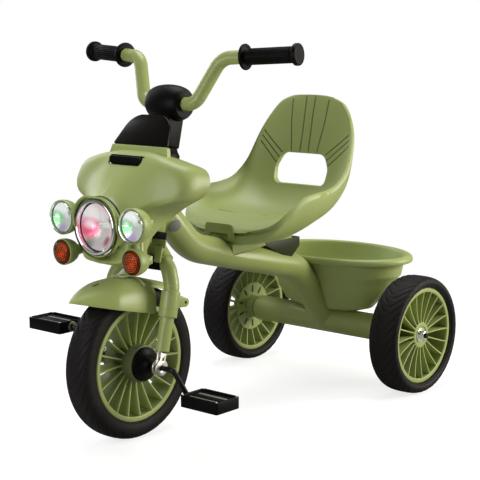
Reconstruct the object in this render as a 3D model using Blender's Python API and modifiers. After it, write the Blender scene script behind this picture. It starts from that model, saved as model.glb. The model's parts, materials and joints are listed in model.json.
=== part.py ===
"""Kids' tricycle: raked fork with a wing fairing, bucket seat on an S-shaped tube, rear basket.

Metres, +Z up. The tricycle faces -Y and its own left side is +X. The origin is on the floor under
the middle of the whole tricycle. Heights named with the fork are measured along the steering axis,
from the front axle.
"""

import math

import bmesh
import bpy
from mathutils import Matrix, Quaternion, Vector

# Clearances and sheet thicknesses
GAP = 0.0003
FENDER_WALL = 0.003
FAIRING_WALL = 0.003
BASKET_WALL = 0.003
SEAT_WALL = 0.0045

# Wheels
TYRE_SIDES = 40
SPOKE_COUNT = 20
SPOKE_THICKNESS = 0.0026
RIM_WALL = 0.0085
FRONT_TYRE_RADIUS = 0.124
FRONT_TYRE_WIDTH = 0.050
FRONT_RIM_RADIUS = 0.0947
FRONT_HUB_RADIUS = 0.030
FRONT_HUB_HALF = 0.030
REAR_TYRE_RADIUS = 0.106
REAR_TYRE_WIDTH = 0.057
REAR_RIM_RADIUS = 0.0862
REAR_HUB_RADIUS = 0.023
WHEELBASE = 0.5204
REAR_TRACK = 0.391

# Fork, with heights along the steering axis from the front axle
RAKE = math.radians(13.2)
LEG_X = 0.0643
UPPER_LEG_RADIUS = 0.0125
LOWER_LEG_RADIUS = 0.011
LOWER_LEG_START = 0.026
SLEEVE_START = 0.080
SLEEVE_LENGTH = 0.041
SLEEVE_RADIUS = 0.0150
FENDER_CLEARANCE = 0.0075
FENDER_LOW = 0.0815
FENDER_AHEAD = 0.0285
FENDER_NOSE_LENGTH = 0.066
FENDER_HALF_WIDTH = 0.046
CROWN_ABOVE_FENDER = 0.0305
CROWN_HEIGHT = 0.033
CROWN_HALF_WIDTH = 0.0204
CROWN_HALF_DEPTH = 0.0184
COLUMN_RADIUS = 0.011

# Head tube and handlebar
LOWER_BUSH_RADIUS = 0.027
LOWER_BUSH_HEIGHT = 0.012
UPPER_BUSH_RADIUS = 0.029
UPPER_BUSH_HEIGHT = 0.020
HEAD_TUBE_RADIUS = 0.024
HEAD_TUBE_BORE = 0.0163
HEAD_TUBE_LENGTH = 0.1144
STEM_HALF_WIDTH = 0.020
STEM_HALF_DEPTH = 0.018
BAR_ABOVE_HEAD = 0.0915
BAR_RADIUS = 0.011
CLAMP_RADIUS = 0.030
CLAMP_END_RADIUS = 0.022
CLAMP_HALF_LENGTH = 0.034
BAR_RISE = 0.0761
GRIP_LENGTH = 0.0975
GRIP_RADIUS = 0.013
GRIP_FLANGE = 0.0075
GRIP_KNOB = 0.0042
GRIP_START_X = 0.1293

# Crank and pedals
CRANK_ROD_RADIUS = 0.0045
CRANK_THROW_BACK = 0.0250
CRANK_THROW_DOWN = 0.045
CRANK_ARM_X = 0.0972
PEDAL_START_X = 0.1085
PEDAL_LENGTH = 0.0765
PEDAL_WIDTH = 0.0540
PEDAL_HEIGHT = 0.019
PEDAL_RIM = 0.0055

# Lamps
LAMP_Y = -0.0704
LAMP_ABOVE_AXLE = 0.2235
LAMP_RADIUS = 0.038
BUCKET_DEPTH = 0.0325
BEZEL_RADIUS = 0.0436
HOOD_RADIUS = 0.0482
HOOD_VISOR = 0.0065
LAMP_ZONE = 0.0516
LAMP_UNDER_TOP = 0.1296
FAIRING_AROUND = 14
FAIRING_ACROSS = 8
AUX_LAMP_X = 0.0770
AUX_LAMP_ABOVE = 0.0085
AUX_LAMP_RADIUS = 0.0275
TURN_LAMP_BELOW = 0.0465
TURN_LAMP_RADIUS = 0.019
AUX_SHELL_DEPTH = 0.036
TURN_SHELL_DEPTH = 0.034

# Frame
MAIN_TUBE_RADIUS = 0.0245
AXLE_TUBE_RADIUS = 0.024
AXLE_TUBE_BORE = 0.021
WHEEL_INSET = 0.0355
REAR_AXLE_RADIUS = 0.005
SEAT_TUBE_SLOPE = 0.2463
SEAT_TUBE_LENGTH = 0.2844
SEAT_BEND_AHEAD = 0.0954
SEAT_BEND_ABOVE = 0.1143

# Seat and basket
SEAT_AHEAD_OF_AXLE = 0.2204
SEAT_HALF_WIDTH = 0.1195
SEAT_ABOVE_POCKET = 0.0275
BRACKET_TOP = -0.0215
POCKET_SPLIT = 0.012
POCKET_AHEAD_OF_SEAT = 0.0760
POCKET_LENGTH = 0.094
BASKET_BEHIND_AXLE = 0.0306
BASKET_HALF_WIDTH = 0.1572
BASKET_HALF_DEPTH = 0.105
BASKET_HEIGHT = 0.105
BASKET_RIM_WIDTH = 0.0190
BASKET_RIM_OVERHANG = 0.0172
BASKET_END_OVERHANG = 0.011
BASKET_FLOOR_HALF_WIDTH = 0.068
BASKET_FLOOR_HALF_DEPTH = 0.060

# Places worked out from the sizes above
HALF_FACET = math.pi / TYRE_SIDES
FRONT_AXLE_Z = FRONT_TYRE_RADIUS * math.cos(HALF_FACET)
REAR_AXLE_Z = REAR_TYRE_RADIUS * math.cos(HALF_FACET)
FENDER_TOP = FRONT_TYRE_RADIUS + FENDER_CLEARANCE + FENDER_WALL
FENDER_NOSE = FRONT_TYRE_RADIUS + FENDER_AHEAD
CROWN_LOW = FENDER_TOP + CROWN_ABOVE_FENDER
CROWN_HIGH = CROWN_LOW + CROWN_HEIGHT
HEAD_LOW = CROWN_HIGH + GAP + LOWER_BUSH_HEIGHT + GAP
HEAD_HIGH = HEAD_LOW + HEAD_TUBE_LENGTH
STEM_LOW = HEAD_HIGH + 2 * GAP + UPPER_BUSH_HEIGHT
BAR_HEIGHT = HEAD_HIGH + BAR_ABOVE_HEAD
FRONT_Y = FENDER_LOW * math.sin(RAKE) - FENDER_NOSE * math.cos(RAKE)
REAR_Y = WHEELBASE + BASKET_BEHIND_AXLE + BASKET_HALF_DEPTH
ORIGIN_Y = -(FRONT_Y + REAR_Y) / 2
REAR_WHEEL_X = REAR_TRACK / 2
AXLE_TUBE_HALF = REAR_WHEEL_X - WHEEL_INSET
SEAT_Y = WHEELBASE - SEAT_AHEAD_OF_AXLE
POCKET_FRONT = SEAT_Y - POCKET_AHEAD_OF_SEAT

MODEL = "tricycle"
SIDES = {"left": 1, "right": -1}
ALONG_X = Matrix.Rotation(math.pi / 2, 4, "Y")
ALONG_MINUS_Y = Matrix.Rotation(math.pi / 2, 4, "X")
SIDE_PLANE = Matrix(((0, 0, 1, 0), (1, 0, 0, 0), (0, 1, 0, 0), (0, 0, 0, 1)))
FRONT_PLANE = Matrix.Rotation(math.pi / 2, 4, "X")


# Scene, materials and empties

def clear_scene():
    for old in list(bpy.data.objects):
        bpy.data.objects.remove(old, do_unlink=True)


def new_collection(name):
    made = bpy.data.collections.new(name)
    bpy.context.scene.collection.children.link(made)
    return made


def new_material(name, colour, roughness, metallic=0.0, alpha=1.0):
    made = bpy.data.materials.new(name)
    made.use_nodes = True
    shader = made.node_tree.nodes["Principled BSDF"]
    shader.inputs["Base Color"].default_value = (*colour, 1.0)
    shader.inputs["Roughness"].default_value = roughness
    shader.inputs["Metallic"].default_value = metallic
    shader.inputs["Alpha"].default_value = alpha
    return made


def new_empty(name, parent, location=(0, 0, 0), tilt=0.0):
    made = bpy.data.objects.new(name, None)
    made.empty_display_size = 0.03
    parts.objects.link(made)
    made.parent = parent
    made.location = location
    made.rotation_euler = (tilt, 0, 0)
    return made


# Shapes

def place(mesh, name, material, parent, matrix=None):
    """A visible piece, or with no material a helper for a cut or a join."""
    made = bpy.data.objects.new(name, mesh)
    if material:
        parts.objects.link(made)
        mesh.materials.append(material)
        mesh.shade_smooth()
        mesh.set_sharp_from_angle(angle=math.radians(35))
    else:
        cutters.objects.link(made)
        made.hide_render = True
        made.display_type = "WIRE"
    made.parent = parent
    made.matrix_local = matrix or Matrix()
    return made


def mesh_from(name, fill):
    """A mesh made by fill(bm), with its faces turned outwards."""
    bm = bmesh.new()
    fill(bm)
    bmesh.ops.recalc_face_normals(bm, faces=bm.faces)
    mesh = bpy.data.meshes.new(name)
    bm.to_mesh(mesh)
    bm.free()
    return mesh


def box(name, size, centre, material, parent, bevel=0.0, matrix=None):
    def fill(bm):
        bmesh.ops.create_cube(bm, size=1)
        bmesh.ops.scale(bm, vec=size, verts=bm.verts)
        bmesh.ops.translate(bm, vec=centre, verts=bm.verts)

    made = place(mesh_from(name, fill), name, material, parent, matrix)
    if bevel:
        edge = made.modifiers.new("Edges", "BEVEL")
        edge.width = bevel
        edge.segments = 1
        edge.limit_method = "ANGLE"
    return made


def cylinder(name, radius, start, end, material, parent, sides=24):
    """A round bar from start to end."""
    start, end = Vector(start), Vector(end)

    def fill(bm):
        bmesh.ops.create_cone(
            bm, cap_ends=True, segments=sides, radius1=radius, radius2=radius, depth=(end - start).length
        )

    turn = Vector((0, 0, 1)).rotation_difference(end - start).to_matrix().to_4x4()
    matrix = Matrix.Translation((start + end) / 2) @ turn
    return place(mesh_from(name, fill), name, material, parent, matrix)


def turned(name, profile, material, parent, sides=28, matrix=None, closed=False):
    """A profile of (radius, height) points, outer side from top to bottom, turned about local Z."""
    bm = bmesh.new()
    corners = [bm.verts.new((radius, 0, height)) for radius, height in profile]
    for first, second in zip(corners, corners[1:]):
        bm.edges.new((first, second))
    if closed:
        bm.edges.new((corners[-1], corners[0]))
    mesh = bpy.data.meshes.new(name)
    bm.to_mesh(mesh)
    bm.free()
    made = place(mesh, name, material, parent, matrix)
    screw = made.modifiers.new("Turn", "SCREW")
    screw.steps = sides
    screw.render_steps = sides
    screw.use_merge_vertices = True
    screw.merge_threshold = 0.00001
    screw.use_normal_calculate = False
    screw.use_smooth_shade = True
    return made


def ring_profile(outer, inner, high, low):
    return [(outer, high), (outer, low), (inner, low), (inner, high)]


def plate(name, outline, thickness, material, parent, matrix, bevel=0.0):
    """A flat outline in local XY with half its thickness on each side."""
    bm = bmesh.new()
    bm.faces.new([bm.verts.new((x, y, 0)) for x, y in outline])
    bmesh.ops.recalc_face_normals(bm, faces=bm.faces)
    mesh = bpy.data.meshes.new(name)
    bm.to_mesh(mesh)
    bm.free()
    made = place(mesh, name, material, parent, matrix)
    wall = made.modifiers.new("Thickness", "SOLIDIFY")
    wall.thickness = thickness
    wall.offset = 0
    if bevel:
        edge = made.modifiers.new("Edges", "BEVEL")
        edge.width = bevel
        edge.segments = 1
        edge.limit_method = "ANGLE"
        edge.angle_limit = math.radians(60)
    return made


def rounded(outline, radius, steps=3):
    """A closed outline whose corners are arcs; radius is one value or one for each corner."""
    radii = radius if isinstance(radius, (list, tuple)) else [radius] * len(outline)
    made = []
    for index, size in enumerate(radii):
        corner = Vector(outline[index])
        before = (Vector(outline[index - 1]) - corner).normalized()
        after = (Vector(outline[(index + 1) % len(outline)]) - corner).normalized()
        half = before.angle(after) / 2
        centre = corner + (before + after).normalized() * size / math.sin(half)
        first = corner + before * size / math.tan(half) - centre
        turn = math.pi - 2 * half
        sign = 1 if before.cross(after) < 0 else -1
        for step in range(steps + 1):
            made.append(centre + Matrix.Rotation(sign * turn * step / steps, 2) @ first)
    return made


def bent_path(corners, bend, step=math.radians(9)):
    """The corners joined by straight runs, with an arc of radius bend at each inner corner."""
    corners = [Vector(corner) for corner in corners]
    bends = bend if isinstance(bend, (list, tuple)) else [bend] * (len(corners) - 2)
    path = [corners[0]]
    for before, corner, after, radius in zip(corners, corners[1:], corners[2:], bends):
        back = (before - corner).normalized()
        ahead = (after - corner).normalized()
        turn = math.pi - back.angle(ahead)
        start = corner + back * radius * math.tan(turn / 2)
        centre = corner + (back + ahead).normalized() * radius / math.cos(turn / 2)
        axis = back.cross(ahead).normalized() * -1
        count = max(2, math.ceil(turn / step))
        for index in range(count + 1):
            path.append(centre + Quaternion(axis, turn * index / count) @ (start - centre))
    path.append(corners[-1])
    return path


def tube(name, path, radius, material, parent, half_sides=4):
    """A round bar along the path, made a mesh so that it can be cut and joined."""
    curve = bpy.data.curves.new(name, "CURVE")
    curve.dimensions = "3D"
    curve.bevel_depth = radius
    curve.bevel_resolution = half_sides - 2
    curve.use_fill_caps = True
    spline = curve.splines.new("POLY")
    spline.points.add(len(path) - 1)
    for point, place_at in zip(spline.points, path):
        point.co = (*place_at, 1)
    guide = bpy.data.objects.new(name + "_path", curve)
    cutters.objects.link(guide)
    graph = bpy.context.evaluated_depsgraph_get()
    mesh = bpy.data.meshes.new_from_object(guide.evaluated_get(graph))
    bpy.data.objects.remove(guide, do_unlink=True)
    bm = bmesh.new()
    bm.from_mesh(mesh)
    bmesh.ops.remove_doubles(bm, verts=bm.verts, dist=0.00001)
    bmesh.ops.recalc_face_normals(bm, faces=bm.faces)
    bm.to_mesh(mesh)
    bm.free()
    mesh.materials.clear()
    return place(mesh, name, material, parent)


def loft(name, rings, material, parent, matrix=None):
    """A closed solid through rings of points, with flat ends."""
    def fill(bm):
        rows = [[bm.verts.new(point) for point in ring] for ring in rings]
        for first, second in zip(rows, rows[1:]):
            for index in range(len(first)):
                after = (index + 1) % len(first)
                bm.faces.new((first[index], first[after], second[after], second[index]))
        bm.faces.new(rows[0])
        bm.faces.new(list(reversed(rows[-1])))
        bmesh.ops.triangulate(bm, faces=bm.faces)

    return place(mesh_from(name, fill), name, material, parent, matrix)


def smooth_through(values, count):
    """count + 1 points on a smooth curve through a list of vectors."""
    values = [Vector(value) for value in values]
    values = [2 * values[0] - values[1], *values, 2 * values[-1] - values[-2]]
    spans = len(values) - 3
    made = []
    for index in range(count + 1):
        along = min(index * spans / count, spans - 1e-9)
        cell = int(along)
        t = along - cell
        a, b, c, d = values[cell : cell + 4]
        made.append(
            0.5 * (2 * b + (c - a) * t + (2 * a - 5 * b + 4 * c - d) * t**2 + (3 * b - a - 3 * c + d) * t**3)
        )
    return made


def join(made, *others):
    for other in others:
        step = made.modifiers.new("Join " + other.name, "BOOLEAN")
        step.operation = "UNION"
        step.object = other


def cut(made, *others):
    for other in others:
        step = made.modifiers.new("Cut " + other.name, "BOOLEAN")
        step.operation = "DIFFERENCE"
        step.object = other


def from_fork(x, y, z):
    """A point of the steering axis's frame, seen in the tricycle's frame."""
    return Vector(
        (
            x,
            math.cos(RAKE) * y + math.sin(RAKE) * z,
            FRONT_AXLE_Z - math.sin(RAKE) * y + math.cos(RAKE) * z,
        )
    )


# Wheels

def tyre(name, parent, radius, width, rim_radius):
    seat = rim_radius + GAP
    depth = radius - seat
    upper = [
        (seat, 0.41 * width),
        (seat + 0.45 * depth, 0.50 * width),
        (seat + 0.87 * depth, 0.39 * width),
        (radius, 0.19 * width),
    ]
    lower = [(r, -x) for r, x in reversed(upper)]
    spin = Matrix.Rotation(HALF_FACET, 4, "Z")
    return turned(name, upper + lower, rubber, parent, TYRE_SIDES, ALONG_X @ spin, closed=True)


def rim_ring(name, parent, radius, half_width):
    profile = ring_profile(radius, radius - RIM_WALL, half_width, -half_width)
    spin = Matrix.Rotation(HALF_FACET, 4, "Z")
    return turned(name, profile, green_plastic, parent, TYRE_SIDES, ALONG_X @ spin, closed=True)


def spokes(name, parent, inner, outer, inner_half, outer_half, shift=0.0):
    """Flat blades standing edge-on, as wide across the wheel as inner_half and outer_half give."""
    def fill(bm):
        for index in range(SPOKE_COUNT):
            turn = Matrix.Rotation(2 * math.pi * index / SPOKE_COUNT, 3, "X")
            blade = bmesh.ops.create_cube(bm, size=1)["verts"]
            for vert in blade:
                along = vert.co.z + 0.5
                half = inner_half + (outer_half - inner_half) * along
                x = shift * (1 - along) + 2 * half * vert.co.x
                reach = inner + (outer - inner) * along
                vert.co = turn @ Vector((x, SPOKE_THICKNESS * vert.co.y, reach))

    return place(mesh_from(name, fill), name, None, parent)


def front_wheel(parent):
    half = 0.44 * FRONT_TYRE_WIDTH
    rim = rim_ring("front_rim", parent, FRONT_RIM_RADIUS, half)
    barrel = ring_profile(FRONT_HUB_RADIUS, CRANK_ROD_RADIUS + GAP, FRONT_HUB_HALF, -FRONT_HUB_HALF)
    spin = Matrix.Rotation(math.pi / SPOKE_COUNT, 4, "Z")
    hub = turned("front_hub_form", barrel, None, parent, SPOKE_COUNT, ALONG_X @ spin, closed=True)
    tip = FRONT_RIM_RADIUS - RIM_WALL + 0.002
    blades = spokes("front_spoke_form", parent, FRONT_HUB_RADIUS - 0.003, tip, 0.012, half)
    join(rim, hub, blades)
    tyre("front_tyre", parent, FRONT_TYRE_RADIUS, FRONT_TYRE_WIDTH, FRONT_RIM_RADIUS)
    start = FRONT_HUB_HALF + GAP
    cone = [
        (CRANK_ROD_RADIUS + GAP, start + 0.017),
        (0.0105, start + 0.017),
        (0.0150, start + 0.009),
        (0.0262, start + 0.004),
        (0.0275, start),
        (CRANK_ROD_RADIUS + GAP, start),
    ]
    for side, sign in SIDES.items():
        matrix = ALONG_X if sign > 0 else ALONG_X @ Matrix.Rotation(math.pi, 4, "X")
        turned(f"hub_cover_{side}", cone, black_plastic, parent, 16, matrix, closed=True)


def rear_wheel(side, sign, parent):
    """A rim whose blades lean in to a hub that is longer on the inner side."""
    half = 0.022
    rim = rim_ring(f"rear_rim_{side}", parent, REAR_RIM_RADIUS, half)
    matrix = ALONG_X if sign > 0 else ALONG_X @ Matrix.Rotation(math.pi, 4, "X")
    bore = REAR_AXLE_RADIUS + GAP
    inner_end = -(REAR_WHEEL_X - AXLE_TUBE_HALF - 0.0045 - 3 * GAP)
    barrel = [
        (REAR_HUB_RADIUS, 0.015),
        (REAR_HUB_RADIUS, -0.012),
        (0.0185, inner_end),
        (bore, inner_end),
        (bore, 0.015),
    ]
    matrix = matrix @ Matrix.Rotation(math.pi / SPOKE_COUNT, 4, "Z")
    hub = turned(f"rear_hub_form_{side}", barrel, None, parent, SPOKE_COUNT, matrix, closed=True)
    tip = REAR_RIM_RADIUS - RIM_WALL + 0.002
    blades = spokes(
        f"rear_spoke_form_{side}", parent, REAR_HUB_RADIUS - 0.003, tip, 0.012, half, sign * 0.004
    )
    join(rim, hub, blades)
    tyre(f"rear_tyre_{side}", parent, REAR_TYRE_RADIUS, REAR_TYRE_WIDTH, REAR_RIM_RADIUS)


# Crank and pedals

def crank(parent):
    throw = Vector((0, CRANK_THROW_BACK, -CRANK_THROW_DOWN))
    outer = PEDAL_START_X + PEDAL_LENGTH - 0.006
    lean = 0.003
    corners = [
        Vector((-outer, 0, 0)) - throw,
        Vector((-CRANK_ARM_X - lean, 0, 0)) - throw,
        Vector((lean - CRANK_ARM_X, 0, 0)),
        Vector((CRANK_ARM_X - lean, 0, 0)),
        Vector((CRANK_ARM_X + lean, 0, 0)) + throw,
        Vector((outer, 0, 0)) + throw,
    ]
    path = bent_path(corners, [0.0012 + CRANK_ROD_RADIUS] * 4, math.radians(30))
    tube("crank", path, CRANK_ROD_RADIUS, steel, parent, half_sides=4)


def pedal(side, sign, parent):
    """An open frame on a spindle sleeve, with two bars across and a grey plate under the sole."""
    middle = sign * (PEDAL_START_X + PEDAL_LENGTH / 2)
    made = box(
        f"pedal_{side}", (PEDAL_LENGTH, PEDAL_WIDTH, PEDAL_HEIGHT), (middle, 0, 0), black_plastic, parent
    )
    window = box(
        f"pedal_window_{side}",
        (PEDAL_LENGTH - 2 * PEDAL_RIM, PEDAL_WIDTH - 2 * PEDAL_RIM, 2 * PEDAL_HEIGHT),
        (middle, 0, 0),
        None,
        parent,
    )
    length = PEDAL_LENGTH - PEDAL_RIM
    sleeve = box(f"pedal_sleeve_{side}", (length, 0.016, 0.015), (middle, 0, 0), None, parent)
    bars = [
        box(f"pedal_bar_{side}_{end}", (length, 0.0035, 0.015), (middle, end * 0.0165, 0), None, parent)
        for end in (-1, 1)
    ]
    reach = PEDAL_START_X + PEDAL_LENGTH
    bore = cylinder(
        f"pedal_bore_{side}",
        CRANK_ROD_RADIUS + GAP,
        (sign * (PEDAL_START_X - 0.01), 0, 0),
        (sign * (reach - 0.0045), 0, 0),
        None,
        parent,
        12,
    )
    cut(made, window)
    join(made, sleeve, *bars)
    cut(made, bore)


def pedal_washer(side, sign, parent):
    inner = PEDAL_START_X - 0.0018
    disc = ring_profile(0.0085, CRANK_ROD_RADIUS + GAP, inner + 0.0015, inner)
    matrix = ALONG_X if sign > 0 else ALONG_X @ Matrix.Rotation(math.pi, 4, "X")
    throw = Vector((0, sign * CRANK_THROW_BACK, -sign * CRANK_THROW_DOWN))
    matrix = Matrix.Translation(throw) @ matrix
    turned(f"pedal_washer_{side}", disc, steel, parent, 12, matrix, closed=True)


# Fork

def leg_path(sign, start, end_x=0.030):
    """The upper leg's centre line, from start up and in to the crown."""
    bend = CROWN_LOW - 0.036
    corners = [
        (sign * LEG_X, 0, start),
        (sign * LEG_X, 0, bend),
        (sign * 0.0525, 0, CROWN_LOW - 0.011),
        (sign * end_x, 0, CROWN_LOW + 0.0095),
    ]
    return bent_path(corners, [0.035, 0.028], math.radians(12))


def fork_side(side, sign, parent):
    """One leg: plated dropout, lower tube, sleeve with its lug, and the bent upper tube."""
    joint = SLEEVE_START + 0.012
    tube(f"fork_leg_{side}", leg_path(sign, joint + GAP), UPPER_LEG_RADIUS, green_paint, parent, 5)
    cylinder(
        f"fork_lower_{side}",
        LOWER_LEG_RADIUS,
        (sign * LEG_X, 0, LOWER_LEG_START),
        (sign * LEG_X, 0, joint),
        green_paint,
        parent,
        12,
    )
    high = SLEEVE_START + SLEEVE_LENGTH
    upper_bore = (UPPER_LEG_RADIUS + GAP) / math.cos(math.pi / 12)
    profile = [
        (upper_bore, high),
        (SLEEVE_RADIUS, high),
        (SLEEVE_RADIUS, SLEEVE_START),
        (LOWER_LEG_RADIUS + GAP, SLEEVE_START),
        (LOWER_LEG_RADIUS + GAP, joint - 0.0005),
        (upper_bore, joint - 0.0005),
    ]
    on_leg = Matrix.Translation((sign * LEG_X, 0, 0))
    sleeve = turned(f"fork_sleeve_{side}", profile, green_paint, parent, 12, on_leg, closed=True)
    lug_end = 0.0335
    lug_height = high - 0.015
    arm = [(0.0138, high - 0.004), (0.0138, SLEEVE_START + 0.012), (lug_end, lug_height - 0.0075)]
    tip = [
        (lug_end + 0.0075 * math.sin(angle), lug_height - 0.0075 * math.cos(angle))
        for angle in (math.pi * step / 4 for step in range(1, 5))
    ]
    lug = plate(f"sleeve_lug_{side}", arm + tip, 0.010, None, parent, on_leg @ SIDE_PLANE)
    hole = cylinder(
        f"lug_hole_{side}",
        0.0026,
        (sign * LEG_X - 0.02, lug_end, lug_height),
        (sign * LEG_X + 0.02, lug_end, lug_height),
        None,
        parent,
        8,
    )
    join(sleeve, lug)
    cut(sleeve, hole)
    dropout(side, sign, parent)


def dropout(side, sign, parent):
    """A channel of two keyhole-shaped plates with a web that the leg stands on."""
    eye = 0.013
    neck = 0.0056
    open_angle = math.asin(neck / eye)
    steps = 9
    outline = []
    for step in range(steps + 1):
        angle = open_angle + (2 * math.pi - 2 * open_angle) * step / steps
        outline.append((eye * math.sin(angle), eye * math.cos(angle)))
    outline += [(-neck, LOWER_LEG_START - GAP), (neck, LOWER_LEG_START - GAP)]
    plates = []
    for index, offset in enumerate((-0.0038, 0.0038)):
        matrix = Matrix.Translation((sign * (LEG_X + offset), 0, 0)) @ SIDE_PLANE
        name = f"dropout_{side}" if index == 0 else f"dropout_plate_{side}"
        plates.append(plate(name, outline, 0.0026, zinc if index == 0 else None, parent, matrix))
    web_height = 0.003
    web = box(
        f"dropout_web_{side}",
        (0.0102, 2 * neck, web_height),
        (sign * LEG_X, 0, LOWER_LEG_START - GAP - web_height / 2),
        None,
        parent,
    )
    bore = cylinder(
        f"dropout_bore_{side}",
        CRANK_ROD_RADIUS + GAP,
        (sign * (LEG_X - 0.02), 0, 0),
        (sign * (LEG_X + 0.02), 0, 0),
        None,
        parent,
        12,
    )
    join(plates[0], web, plates[1])
    cut(plates[0], bore)


def crown(parent):
    """A block with two sloping shoulders that take the legs, and a socket for the steering column."""
    middle = (CROWN_LOW + CROWN_HIGH) / 2
    made = box(
        "fork_crown",
        (2 * CROWN_HALF_WIDTH, 2 * CROWN_HALF_DEPTH, CROWN_HEIGHT),
        (0, 0, middle),
        green_paint,
        parent,
        bevel=0.004,
    )
    for side, sign in SIDES.items():
        shoulder = cylinder(
            f"crown_shoulder_{side}",
            0.0152,
            (sign * 0.0175, 0, CROWN_LOW + 0.0209),
            (sign * 0.0405, 0, CROWN_LOW - 0.0001),
            None,
            parent,
            12,
        )
        join(made, shoulder)
        socket = tube(
            f"crown_socket_{side}",
            leg_path(sign, CROWN_LOW - 0.07, 0.0297),
            UPPER_LEG_RADIUS + GAP,
            None,
            parent,
            5,
        )
        cut(made, socket)
    bore_ends = (0, 0, CROWN_HIGH - 0.016), (0, 0, CROWN_HIGH + 0.01)
    cut(made, cylinder("crown_bore", COLUMN_RADIUS + GAP, *bore_ends, None, parent))


def fender_ring(y, half_width, top, low, steps=10):
    """One arch of the fender, closed along its lower edge."""
    points = []
    for step in range(steps + 1):
        angle = math.pi * (step / steps - 0.5)
        x = math.copysign(abs(math.sin(angle)) ** 0.85, angle) * half_width
        points.append(Vector((x, y, low + (top - low) * math.cos(angle) ** 0.85)))
    return points


def fender_rows(inset):
    """Rows of (distance along, half width, top, lower edge), drawn in by inset for the inner face."""
    nose = -FENDER_NOSE + inset
    rows = []
    for share in (0.012, 0.08, 0.22, 0.42, 0.68, 1.0):
        y = nose + share * FENDER_NOSE_LENGTH
        width = (1 - (1 - share) ** 1.35) * (FENDER_HALF_WIDTH - inset)
        rows.append((y, width, fender_crest(y, inset), FENDER_LOW))
    for y in (-0.066, -0.040, -0.008):
        rows.append((y, FENDER_HALF_WIDTH - inset, fender_crest(y, inset), FENDER_LOW))
    return rows


def fender_crest(y, inset):
    """The height of the fender's ridge at y, on a curve from its nose to above the axle."""
    reach = FENDER_NOSE - inset
    rise = FENDER_TOP - inset - FENDER_LOW
    share = min(1.0, max(0.0, -y / reach))
    return FENDER_LOW + rise * (1 - share**2.35)


def fender(parent):
    """A helmet-shaped cover over the front of the tyre, with a narrow tail between the legs."""
    made = loft("fender", [fender_ring(*row) for row in fender_rows(0)], green_plastic, parent)
    tail_start, tail_end = -0.030, 0.048
    tail_half = 0.034
    tail_top, tail_low = FENDER_TOP - 0.0006, FENDER_TOP - 0.013
    tail = loft(
        "fender_tail_form",
        [
            fender_ring(tail_start, tail_half, tail_top, tail_low),
            fender_ring(0.0, tail_half, tail_top, tail_low),
            fender_ring(tail_end, 0.028, FENDER_TOP - 0.004, tail_low),
        ],
        None,
        parent,
    )
    rows = fender_rows(FENDER_WALL)[::2]
    inner = [fender_ring(y, width, top, low - 0.02) for y, width, top, low in rows]
    inner.append(fender_ring(0.02, rows[-1][1], rows[-1][2], FENDER_LOW - 0.02))
    hollow = loft("fender_hollow", inner, None, parent)
    arch = fender_ring(0.0, tail_half - FENDER_WALL, tail_top - FENDER_WALL, tail_low - FENDER_WALL)
    profile = [(point.z, point.x) for point in reversed(arch)]
    ends = [(0, profile[0][1])], [(0, profile[-1][1])]
    under = turned("fender_tail_hollow", ends[0] + profile + ends[1], None, parent, 40, ALONG_X)
    join(made, tail)
    cut(made, hollow, under)


def fender_bracket(parent):
    """A bent strap from the front of the crown down to the top of the fender."""
    front = -CROWN_HALF_DEPTH - GAP
    strap = 0.003
    y_foot = -0.058
    foot = fender_crest(y_foot, 0) + GAP
    step = fender_crest(-0.044, 0) + GAP + 0.0006
    outline = [
        (front, CROWN_HIGH - 0.006),
        (front - strap, CROWN_HIGH - 0.006),
        (front - strap, CROWN_LOW - 0.004),
        (-0.046, step + strap),
        (y_foot, foot + strap),
        (y_foot, foot),
        (-0.044, step),
        (front, CROWN_LOW - 0.007),
    ]
    plate("fender_bracket", outline, 0.022, green_paint, parent, SIDE_PLANE)


# Steering column and handlebar

def steering_column(parent):
    top = BAR_HEIGHT - BAR_RADIUS - GAP
    low = CROWN_HIGH - 0.016 + GAP
    cylinder("steering_column", COLUMN_RADIUS, (0, 0, low), (0, 0, top), steel, parent, 16)


def clamp_profile(grow=0.0):
    half = CLAMP_HALF_LENGTH
    points = []
    for share in (1.0, 0.78, 0.3, -0.3, -0.78, -1.0):
        swell = math.sqrt(1 - 0.93 * share**2)
        radius = CLAMP_END_RADIUS + (CLAMP_RADIUS - CLAMP_END_RADIUS) * (swell - 0.2646) / (1 - 0.2646)
        points.append((radius + grow, share * half))
    return points


def handlebar_clamp(parent):
    """The barrel-shaped black cover round the middle of the handlebar, on its square stem cover."""
    matrix = Matrix.Translation((0, 0, BAR_HEIGHT)) @ ALONG_X
    bore = [(BAR_RADIUS + GAP, -CLAMP_HALF_LENGTH), (BAR_RADIUS + GAP, CLAMP_HALF_LENGTH)]
    clamp = turned("handlebar_clamp", clamp_profile() + bore, black_plastic, parent, 16, matrix, True)
    stem_bore = cylinder(
        "stem_bore", COLUMN_RADIUS + GAP, (0, 0, STEM_LOW - 0.01), (0, 0, BAR_HEIGHT), None, parent, 16
    )
    cut(clamp, stem_bore)
    top = BAR_HEIGHT - 0.0185
    stem = box(
        "stem_cover",
        (2 * STEM_HALF_WIDTH, 2 * STEM_HALF_DEPTH, top - STEM_LOW),
        (0, 0, (top + STEM_LOW) / 2),
        black_plastic,
        parent,
        bevel=0.003,
    )
    ends = [(0, 1.2 * CLAMP_HALF_LENGTH)], [(0, -1.2 * CLAMP_HALF_LENGTH)]
    room = turned(
        "stem_cover_top_form", ends[0] + clamp_profile(GAP) + ends[1], None, parent, 16, matrix
    )
    cut(stem, room, stem_bore)


def bar_end(sign):
    """Where the handlebar's riser meets the line of the grip, and the direction of the grip."""
    top = Vector((sign * 0.0895, 0.0078, BAR_HEIGHT + BAR_RISE))
    return top, Vector((sign * 0.0965, 0.0153, 0.0088)).normalized()


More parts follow.
